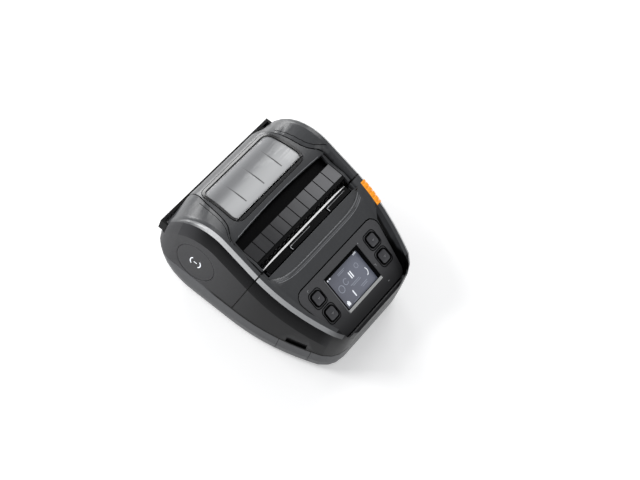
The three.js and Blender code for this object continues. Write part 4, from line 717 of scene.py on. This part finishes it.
def windowPiece(look):
    grid = copied("window", 0.0)
    cuts = [(place + look["half"] * share, 0) for place in look["places"] for share in look["cuts"]]
    run = look["rearY"] - look["frontY"]
    rows = [(look["frontY"] + run * i / look["steps"], 1) for i in range(look["steps"] + 1)]
    for place, axis in cuts + rows:
        point = Vector((0, 0, 0))
        point[axis] = place * mm
        normal = Vector((1 - axis, axis, 0))
        geometry = grid.verts[:] + grid.edges[:] + grid.faces[:]
        bmesh.ops.bisect_plane(grid, geom=geometry, dist=0.0000005, plane_co=point, plane_no=normal)
    grid.normal_update()
    for vert in grid.verts:
        if vert.normal.z < look["facing"]:
            continue
        x, y = vert.co.x / mm, vert.co.y / mm
        share = (y - look["frontY"]) / run
        if not 0.0 <= share <= 1.0:
            continue
        fade = min(1.0, share / look["fadeIn"], (1.0 - share) / look["fadeOut"])
        if min(abs(x - place) for place in look["places"]) < look["half"] * look["bottom"]:
            vert.co.z -= look["depth"] * max(fade, 0.0) * mm
    piece = finished(grid, "window", "cover", "window", "window", smoothAngle=50.0)
    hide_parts("window")


windowPiece(grooves)


def slab(grid, x0, x1, y0, y1, z0, z1, matrix=Matrix.Identity(4)):
    size = Matrix.Diagonal(((x1 - x0) * mm, (y1 - y0) * mm, (z1 - z0) * mm, 1.0))
    centre = Matrix.Translation(((x0 + x1) / 2 * mm, (y0 + y1) / 2 * mm, (z0 + z1) / 2 * mm))
    return bmesh.ops.create_cube(grid, size=1.0, matrix=matrix @ centre @ size)["verts"]


# A flat ring or a part of one, turned out of one small face
def arcBar(grid, centre, radius, width, z0, z1, start, sweep, matrix, steps):
    before = set(grid.verts)
    profile = [grid.verts.new((radius * mm, 0, z * mm)) for z in (z0, z1)]
    profile += [grid.verts.new(((radius + width) * mm, 0, z * mm)) for z in (z1, z0)]
    face = grid.faces.new(profile)
    bmesh.ops.transform(grid, matrix=Matrix.Rotation(math.radians(start), 4, "Z"), verts=profile)
    full = abs(sweep) >= 360
    bmesh.ops.spin(
        grid, geom=[face] + list(face.edges) + profile, cent=(0, 0, 0), axis=(0, 0, 1),
        dvec=(0, 0, 0), angle=math.radians(sweep), steps=steps, use_merge=full, use_duplicate=False,
    )
    if full and face.is_valid:
        bmesh.ops.delete(grid, geom=[face], context="FACES_ONLY")
    place = matrix @ Matrix.Translation((centre[0] * mm, centre[1] * mm, 0))
    bmesh.ops.transform(grid, matrix=place, verts=[vert for vert in grid.verts if vert not in before])
    own = [part for part in grid.faces if part.verts[0] not in before]
    bmesh.ops.recalc_face_normals(grid, faces=own)


# Generic signs on the display, each a thin printed layer on the glass, placed from the display's middle:
# boxes as x0, x1, y0, y1, lines as x0, x1, y, and arcs as x, y, radius, width, start, sweep, steps
displaySigns = dict(
    middleY=-25.07, sunk=0.05, lift=0.06, line=0.4,
    boxes=((17.2, 18.0, 13.0, 14.2), (18.7, 19.5, 13.0, 15.1), (20.2, 21.0, 13.0, 16.0),
           (-21.5, -18.8, 13.2, 15.2), (-17.4, -15.6, 13.4, 15.0), (1.4, 2.5, 0.4, 6.4), (3.6, 4.7, 0.4, 6.4),
           (-6.4, -5.3, -12.2, -6.6), (-18.6, -15.2, -13.6, -10.4), (-17.6, -16.2, -10.4, -9.5)),
    lines=((-8.0, 2.0, 11.4), (-8.0, 0.0, 10.2), (-4.0, 8.0, -3.2), (-2.0, 9.0, -4.6), (4.0, 13.0, -9.4),
           (5.0, 12.0, -10.8), (-12.0, -4.0, -14.6)),
    brightArcs=((15.5, -3.5, 3.4, 0.7, -80, 120, 20),),
    dimArcs=((-13.5, 0.6, 2.8, 0.5, 0, 360, 28), (-5.6, 2.6, 2.3, 0.45, 30, 300, 20),
             (13.0, 5.6, 1.9, 0.4, 0, 360, 24)),
)


def displayMarks(look):
    top = panelTop("display_screen")
    z0, z1 = top - look["sunk"], top + look["lift"]
    middle = look["middleY"]
    bright = bmesh.new()
    dim = bmesh.new()
    for x0, x1, y0, y1 in look["boxes"]:
        slab(bright, x0, x1, middle + y0, middle + y1, z0, z1, panelPlane)
    for grid, arcs in ((bright, look["brightArcs"]), (dim, look["dimArcs"])):
        for x, y, radius, width, start, sweep, steps in arcs:
            arcBar(grid, (x, middle + y), radius, width, z0, z1, start, sweep, panelPlane, steps)
    for x0, x1, y in look["lines"]:
        slab(dim, x0, x1, middle + y, middle + y + look["line"], z0, z1, panelPlane)
    finished(bright, "displayBrightMarks", "base", "screen", "white")
    finished(dim, "displayDimMarks", "base", "screen", "dimWhite")


displayMarks(displaySigns)

# Small printed signs beside the keys and the display, as x, y, width, depth, and a short sign on each key
keyPlaces = {"rear_left": (-40.2, -48.1), "rear_right": (40.2, -48.1), "front_left": (-38.9, -63.5),
             "front_right": (38.9, -63.5)}
panelSigns = dict(
    boxes=((26.4, -41.6, 0.9, 0.9), (26.6, -62.6, 1.5, 0.4), (27.2, -63.6, 0.4, 1.7),
           (-43.1, -38.4, 1.9, 0.4), (-43.9, -39.3, 0.4, 1.4), (27.4, -79.5, 1.8, 0.4)),
    half=0.05, keySunk=0.1, keyLift=0.04, barHalf=1.3, lineHalf=0.16, stem=(-1.2, -0.3),
)


def panelMarks(look):
    grid = bmesh.new()
    for x, y, wide, deep in look["boxes"]:
        up, half = upPanel(y), look["half"]
        slab(grid, x - wide / 2, x + wide / 2, up - deep / 2, up + deep / 2, -half, half, panelPlane)
    finished(grid, "panelMarks", "base", "panel", "greyMark")
    for corner, (x, y) in keyPlaces.items():
        top = panelTop("key_" + corner)
        up, bar, line = upPanel(y), look["barHalf"], look["lineHalf"]
        z0, z1 = top - look["keySunk"], top + look["keyLift"]
        sign = bmesh.new()
        slab(sign, x - bar, x + bar, up - line, up + line, z0, z1, panelPlane)
        slab(sign, x - line, x + line, up + look["stem"][0], up + look["stem"][1], z0, z1, panelPlane)
        finished(sign, "keySign" + joined(corner), corner + "_key", "key", "greyMark")


panelMarks(panelSigns)


# Dark ring round each key: painted shade in the gap between key and panel
keyShadeRings = dict(outer=7.8, corner=4.0, width=0.65, low=-0.1, height=0.3)


def keyGapShade(corner, x, y, look):
    grid = bmesh.new()
    bmesh.ops.create_grid(grid, x_segments=1, y_segments=1, size=look["outer"] * mm)
    bmesh.ops.bevel(
        grid, geom=grid.verts[:], affect="VERTICES", offset=look["corner"] * mm, offset_type="OFFSET",
        segments=6, profile=0.5, material=-1,
    )
    bmesh.ops.inset_region(grid, faces=grid.faces[:], thickness=look["width"] * mm, use_boundary=True)
    inner = max(grid.faces, key=lambda face: face.calc_area())
    bmesh.ops.delete(grid, geom=[inner], context="FACES_ONLY")
    bmesh.ops.solidify(grid, geom=grid.faces[:], thickness=look["height"] * mm)
    facesOut(grid)
    middle = min(v.co.z for v in grid.verts) / mm
    place = (x * mm, upPanel(y) * mm, (look["low"] - middle) * mm)
    bmesh.ops.transform(grid, matrix=panelPlane @ Matrix.Translation(place), verts=grid.verts[:])
    finished(grid, "surround" + joined(corner), "base", "panel", "riser", smoothAngle=40.0)


for corner, (x, y) in keyPlaces.items():
    keyGapShade(corner, x, y, keyShadeRings)


# Painted highlights on the edges of the display's bezel: a wide sloped one at its front and a narrow one on
# the left
edgesLook = dict(
    frontY=-42.7, deep=2.4, leftX=-24.6, rightX=24.6, inset=1.0, narrow=0.9, rearY=-7.5, sunk=0.1, lift=0.03,
    rise=0.3,
)


def bezelEdges(look):
    base = panelTop("display_bezel")
    low, high = base + look["lift"] - look["sunk"], base + look["rise"]
    bright = bmesh.new()
    rearY = look["frontY"] + look["deep"]
    for vert in slab(bright, look["leftX"] + look["inset"], look["rightX"], look["frontY"], rearY, low, high):
        if vert.co.y > (rearY - look["deep"] / 2) * mm and vert.co.z > (low + high) / 2 * mm:
            vert.co.z = (base + look["lift"]) * mm
    bmesh.ops.transform(bright, matrix=panelPlane, verts=bright.verts[:])
    finished(bright, "bezelFrontEdge", "base", "screen", "ramp")
    dim = bmesh.new()
    x0, x1 = look["leftX"], look["leftX"] + look["narrow"]
    slab(dim, x0, x1, look["frontY"], look["rearY"], low, base + look["lift"], panelPlane)
    finished(dim, "bezelSideEdge", "base", "screen", "bead")


bezelEdges(edgesLook)


# A round bead along a path, made from a curve
def beadPiece(name, paths, radius, body, slot, finish, sides=2):
    grid = bmesh.new()
    for path in paths:
        curve = bpy.data.curves.new(name, "CURVE")
        curve.dimensions = "3D"
        curve.bevel_depth = radius * mm
        curve.bevel_resolution = sides
        curve.use_fill_caps = True
        spline = curve.splines.new("POLY")
        spline.points.add(len(path) - 1)
        for dot, place in zip(spline.points, path):
            dot.co = (*place, 1.0)
        holder = linked(name + "Path", curve)
        mesh = bpy.data.meshes.new_from_object(holder)
        grid.from_mesh(mesh)
        bpy.data.objects.remove(holder)
        bpy.data.meshes.remove(mesh)
        bpy.data.curves.remove(curve)
    merged(grid, 0.000005)
    facesOut(grid)
    finished(grid, name, body, slot, finish, smoothAngle=60.0)


def treeOf(node):
    grid = copied(node, 0.0)
    tree = BVHTree.FromBMesh(grid)
    grid.free()
    return tree


def dropped(tree, x, y, startZ=200.0):
    return tree.ray_cast(Vector((x * mm, y * mm, startZ * mm)), Vector((0, 0, -1)))[0]


def lowered(spot, depth):
    return spot - Vector((0, 0, depth * mm))


# Two raised pale beads along the deck's front lip, with a lighter band between them: painted highlights of
# the lip's edges and of its lit slope
lip = dict(halfX=64.5, y=-20.3, rise=8.5, power=6, second=3.3, ends=(0.955, 0.93), radius=0.42, sink=0.22,
           bandRadius=1.9, bandSink=1.6, steps=72)


def lipBeads(look):
    tree = treeOf("front_housing")
    paths = []
    for back, end in zip((0.0, look["second"]), look["ends"]):
        path = []
        for i in range(look["steps"] + 1):
            share = end * (2 * i / look["steps"] - 1)
            y = look["y"] - back + look["rise"] * abs(share) ** look["power"]
            spot = dropped(tree, share * look["halfX"], y)
            if spot:
                path.append(lowered(spot, look["sink"]))
        paths.append(path)
    beadPiece("lipBeads", paths, look["radius"], "base", "housing", "bead")
    band = [lowered((one + two) / 2, look["bandSink"]) for one, two in zip(*paths)]
    beadPiece("lipBand", [band], look["bandRadius"], "base", "housing", "lipGrey", 6)


lipBeads(lip)

# Painted shade in the gap on both sides of the cover, as a dark bead, and a thin dark line of painted shade
# in a crease farther out
gapShade = dict(
    frontY=29.5, rearY=82.0, steps=54, reach=74.0, leastX=40.0, fineStep=0.25, beside=1.0, out=0.25,
    radius=0.45, sink=0.1, outerGap=4.4, outerRadius=0.3, outerRearY=72.0, outerSink=0.12,
)


def coverGapShade(look):
    cover, housing = treeOf("cover_shell"), treeOf("rear_housing")
    for side, label in ((-1, "Left"), (1, "Right")):
        path = []
        outer = []
        for i in range(look["steps"] + 1):
            y = look["frontY"] + (look["rearY"] - look["frontY"]) * i / look["steps"]
            x = look["reach"]
            while x > look["leastX"] and not dropped(cover, side * x, y):
                x -= look["fineStep"]
            edge = dropped(cover, side * x, y)
            beside = dropped(housing, side * (x + look["beside"]), y)
            if edge and beside:
                z = min(edge.z, beside.z) - look["sink"] * mm
                path.append(Vector((side * (x + look["out"]) * mm, y * mm, z)))
            crease = dropped(housing, side * (x + look["outerGap"]), y)
            if edge and crease and y < look["outerRearY"]:
                outer.append(lowered(crease, look["outerSink"]))
        beadPiece("coverGapShade" + label, [path], look["radius"], "base", "black_plastic", "riser")
        beadPiece("outerShadeLine" + label, [outer], look["outerRadius"], "base", "black_plastic", "riser")


coverGapShade(gapShade)

# Fine pale bead along the cover's front edge: a painted highlight
frontBead = dict(halfX=57.0, startY=22.0, endY=44.0, fine=0.25, inset=0.45, radius=0.32, sink=0.16, steps=48)


def coverBead(look):
    tree = treeOf("cover_shell")
    path = []
    for i in range(look["steps"] + 1):
        x = look["halfX"] * (2 * i / look["steps"] - 1)
        y = look["startY"]
        while y < look["endY"] and not dropped(tree, x, y):
            y += look["fine"]
        spot = dropped(tree, x, y + look["inset"])
        if spot:
            path.append(lowered(spot, look["sink"]))
    print("cover bead from", [round(c / mm, 1) for c in path[0]], "to", [round(c / mm, 1) for c in path[-1]])
    beadPiece("coverFrontHighlight", [path], look["radius"], "cover", "cover", "bead")


coverBead(frontBead)

# Thin dark sheet in the joint between the front and rear housings, painted shade of the gap, taken from the
# rear one's own joint face
jointGapShade = dict(thickness=0.24, within=0.35, facing=0.985, inset=0.3, shift=0.08)


def gapShadePiece(look):
    grid = copied("rear_housing", 0.0)
    grid.normal_update()
    ahead = Vector((0, -1, -bodyLines["lean"])).normalized()
    start = Vector((0, 0, bodyLines["jointZ"] * mm))
    away = [
        face for face in grid.faces
        if face.normal.dot(ahead) < look["facing"]
        or abs((face.calc_center_median() - start).dot(ahead)) > look["within"] * mm
        or face.calc_center_median().z < bodyLines["partingZ"] * mm
    ]
    bmesh.ops.delete(grid, geom=away, context="FACES")
    flattened(grid, 0.02)
    bmesh.ops.inset_region(grid, faces=grid.faces[:], thickness=look["inset"] * mm, use_boundary=True)
    rim = [face for face in grid.faces if any(edge.is_boundary for edge in face.edges)]
    bmesh.ops.delete(grid, geom=rim, context="FACES")
    bmesh.ops.translate(grid, verts=grid.verts[:], vec=ahead * look["shift"] * mm)
    bmesh.ops.solidify(grid, geom=grid.faces[:], thickness=-look["thickness"] * mm)
    facesOut(grid)
    print("joint shadeSheet faces:", len(grid.faces))
    finished(grid, "jointGapShade", "base", "black_plastic", "riser")


gapShadePiece(jointGapShade)

# Plain mark of two open arcs and a short bar on the left boss, white with a painted glow
bossMark = dict(
    y=47.0, z=42.0, radius=4.6, width=0.9, starts=(42, 222), sweep=96, steps=14, sunk=0.12, root=0.05,
    lift=0.08, barHalf=1.5, barWidth=0.8,
)


def bossSign(look):
    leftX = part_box("boss_cap_left")[0].x
    place = Matrix.Translation((leftX + look["sunk"] * mm, look["y"] * mm, look["z"] * mm))
    face = place @ Matrix.Rotation(-math.pi / 2, 4, "Y")
    grid = bmesh.new()
    z0, z1 = -look["root"], look["lift"]
    for start in look["starts"]:
        arcBar(grid, (0, 0), look["radius"], look["width"], z0, z1, start, look["sweep"], face, look["steps"])
    slab(grid, -look["barWidth"] / 2, look["barWidth"] / 2, -look["barHalf"], look["barHalf"], z0, z1, face)
    finished(grid, "bossMark", "base", "housing", "white")


bossSign(bossMark)

# Painted highlight lines along the peeler flap's edges at its two breaks, bracket-shaped
brackets = dict(
    strokes=(-26.8, 26.8), runs=(29.0, 26.0), offset=1.4, arm=3.5, faintFrom=3.6, width=0.5, thin=0.36,
    top=66.5, sunk=0.2, lift=0.12, frontY=-8.0, rearY=-4.4,
)


def peelerBrackets(look):
    bright = bmesh.new()
    faint = bmesh.new()
    z0, z1 = look["top"] - look["sunk"], look["top"] + look["lift"]
    for place, run in zip(look["strokes"], look["runs"]):
        edge = place + look["offset"]
        slab(bright, edge, edge + look["width"], look["frontY"], look["rearY"], z0, z1)
        slab(bright, edge, edge + look["arm"], look["rearY"] - look["width"], look["rearY"], z0, z1)
        slab(faint, edge + look["faintFrom"], edge + run, look["rearY"] - look["thin"], look["rearY"], z0, z1)
    finished(bright, "peelerEdgeHighlights", "peeler", "black_plastic", "paleLine")
    finished(faint, "peelerFaintHighlights", "peeler", "black_plastic", "greyMark")


peelerBrackets(brackets)


# Screws: a round head with a plain round socket, on the CAD screw's own axis
screws = dict(socket=1.35, depth=1.2, head=2.0, shankShare=0.5, sides=24, bevel=0.12)


def screwPiece(node, look):
    low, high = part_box(node)
    middle = (low + high) / 2
    radius = (high.x - low.x) / 2
    shank = radius * look["shankShare"]
    neck = low.z + look["head"] * mm
    grid = bmesh.new()
    outline = ((0.0, low.z), (radius, low.z), (radius, neck), (shank, neck), (shank, high.z), (0.0, high.z))
    verts = [grid.verts.new((middle.x + out, middle.y, z)) for out, z in outline]
    edges = [grid.edges.new(pair) for pair in zip(verts, verts[1:])]
    bmesh.ops.spin(
        grid, geom=verts + edges, cent=(middle.x, middle.y, 0), axis=(0, 0, 1), dvec=(0, 0, 0),
        angle=2 * math.pi, steps=look["sides"], use_merge=True, use_duplicate=False,
    )
    merged(grid, 0.000001)
    facesOut(grid)
    flattened(grid, 0.01)
    bottom = min(grid.faces, key=lambda face: face.calc_center_median().z)
    bmesh.ops.inset_region(grid, faces=[bottom], thickness=radius - look["socket"] * mm, depth=0.0)
    sunk = bmesh.ops.extrude_face_region(grid, geom=[bottom])
    moved = [part for part in sunk["geom"] if isinstance(part, bmesh.types.BMVert)]
    bmesh.ops.translate(grid, verts=moved, vec=(0, 0, look["depth"] * mm))
    bmesh.ops.delete(grid, geom=[bottom], context="FACES_ONLY")
    facesOut(grid)
    piece = finished(grid, camel(node), "base", "steel", "steel", bevel=look["bevel"])
    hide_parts(node)


for screw in ("screw_front_right", "screw_front_left", "screw_rear_right", "screw_rear_left"):
    screwPiece(screw, screws)


# Head springs: coiled wire in the place of the plain sleeves
springs = dict(wire=0.42, turns=6, sides=8, stepsPerTurn=24)


def springPiece(node, look):
    low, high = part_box(node)
    middle = (low + high) / 2
    radius = (high.z - low.z) / 2 - look["wire"] * mm
    grid = bmesh.new()
    start = Matrix.Translation((middle.x, low.y + look["wire"] * mm, middle.z + radius))
    ring = bmesh.ops.create_circle(
        grid, cap_ends=True, segments=look["sides"], radius=look["wire"] * mm,
        matrix=start @ Matrix.Rotation(math.pi / 2, 4, "Y"),
    )["verts"]
    run = high.y - low.y - 2 * look["wire"] * mm
    steps = look["turns"] * look["stepsPerTurn"]
    faces = list({face for vert in ring for face in vert.link_faces})
    bmesh.ops.spin(
        grid, geom=faces, cent=middle, axis=(0, 1, 0), dvec=(0, run / steps, 0),
        angle=2 * math.pi * look["turns"], steps=steps, use_merge=False, use_duplicate=False,
    )
    facesOut(grid)
    piece = finished(grid, camel(node), "base", "steel", "steel", smoothAngle=60.0)
    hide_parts(node)


for spring in ("head_spring_right", "head_spring_left"):
    springPiece(spring, springs)
print("marks, screws and springs made")


# Camera at the photograph's place, fitted to points of the photo with chosen overall sizes
shot = dict(
    azimuth=14.42, elevation=53.19, roll=26.06, distance=1.640, focal=1986.0, centre=(294.5, 242.8),
    wide=640, high=480, sensor=36.0, farthest=20.0,
)
aimPoint = Vector((0, 0, 0.04))


def placeCamera(look):
    azimuth, elevation, roll = (math.radians(look[key]) for key in ("azimuth", "elevation", "roll"))
    level = math.cos(elevation)
    ahead = Vector((math.cos(azimuth) * level, math.sin(azimuth) * level, -math.sin(elevation)))
    right = ahead.cross(Vector((0, 0, 1))).normalized()
    up = right.cross(ahead)
    across = math.cos(roll) * right + math.sin(roll) * up
    above = -math.sin(roll) * right + math.cos(roll) * up
    data = bpy.data.cameras.new("camera")
    camera = linked("camera", data)
    turn = Matrix((across, above, -ahead)).transposed().to_4x4()
    camera.matrix_world = Matrix.Translation(aimPoint - ahead * look["distance"]) @ turn
    data.sensor_width = look["sensor"]
    data.lens = look["focal"] / look["wide"] * look["sensor"]
    data.shift_x = (look["wide"] / 2 - look["centre"][0]) / look["wide"]
    data.shift_y = (look["centre"][1] - look["high"] / 2) / look["wide"]
    data.clip_end = look["farthest"]
    bpy.context.scene.camera = camera


placeCamera(shot)

# Soft studio light: five area lamps, the strongest behind on the left, and a pale world
lamps = {
    "keyLamp": dict(place=(-0.75, 0.95, 0.85), size=0.45, power=10.0),
    "rearLamp": dict(place=(-0.35, 1.25, 0.34), size=0.5, power=8.0),
    "rimLamp": dict(place=(0.75, 1.15, 0.32), size=0.5, power=7.0),
    "rightLamp": dict(place=(0.9, 0.3, 0.75), size=0.5, power=4.0),
    "frontLamp": dict(place=(-0.5, -1.1, 0.9), size=0.8, power=3.0),
}


def placeLamp(name, place, size, power):
    data = bpy.data.lights.new(name, "AREA")
    data.size = size
    data.energy = power
    lamp = linked(name, data)
    aim = (aimPoint - Vector(place)).to_track_quat("-Z", "Y")
    lamp.matrix_world = Matrix.Translation(place) @ aim.to_matrix().to_4x4()


for name, values in lamps.items():
    placeLamp(name, **values)

world = bpy.data.worlds.new("world")
bpy.context.scene.world = world
world.use_nodes = True
background = world.node_tree.nodes["Background"]
background.inputs["Color"].default_value = (0.97, 0.98, 1.0, 1.0)
background.inputs["Strength"].default_value = 0.4

# Pale floor that looks white to the camera and in reflections
ground = dict(size=6.0, low="f0f0f0", high="f5f5f5", rough=0.7, glow=0.3)


def floorPiece(look):
    grid = bmesh.new()
    bmesh.ops.create_grid(grid, x_segments=1, y_segments=1, size=look["size"])
    mesh = bpy.data.meshes.new("floor")
    grid.to_mesh(mesh)
    grid.free()
    floor = linked("floor", mesh)
    finish = Finish("paleFloor")
    cloud = finish.noise(3.0, 2.0)
    finish.set(baseColor=finish.mix(cloud, tone(look["low"]), tone(look["high"])), roughness=look["rough"])
    rays = finish.node("ShaderNodeLightPath", {}, {}, "Is Camera Ray")
    for kind in ("Is Glossy Ray", "Is Transmission Ray"):
        rays = rays.maths("MAXIMUM", rays, finish.node("ShaderNodeLightPath", {}, {}, kind))
    finish.set(emissionColor=finish.mix(rays, tone("000000"), tone("ffffff")), emissionStrength=look["glow"])
    mesh.materials.append(finish.material)


floorPiece(ground)
bpy.context.scene.view_settings.view_transform = "Standard"
print("camera, lamps and floor placed")
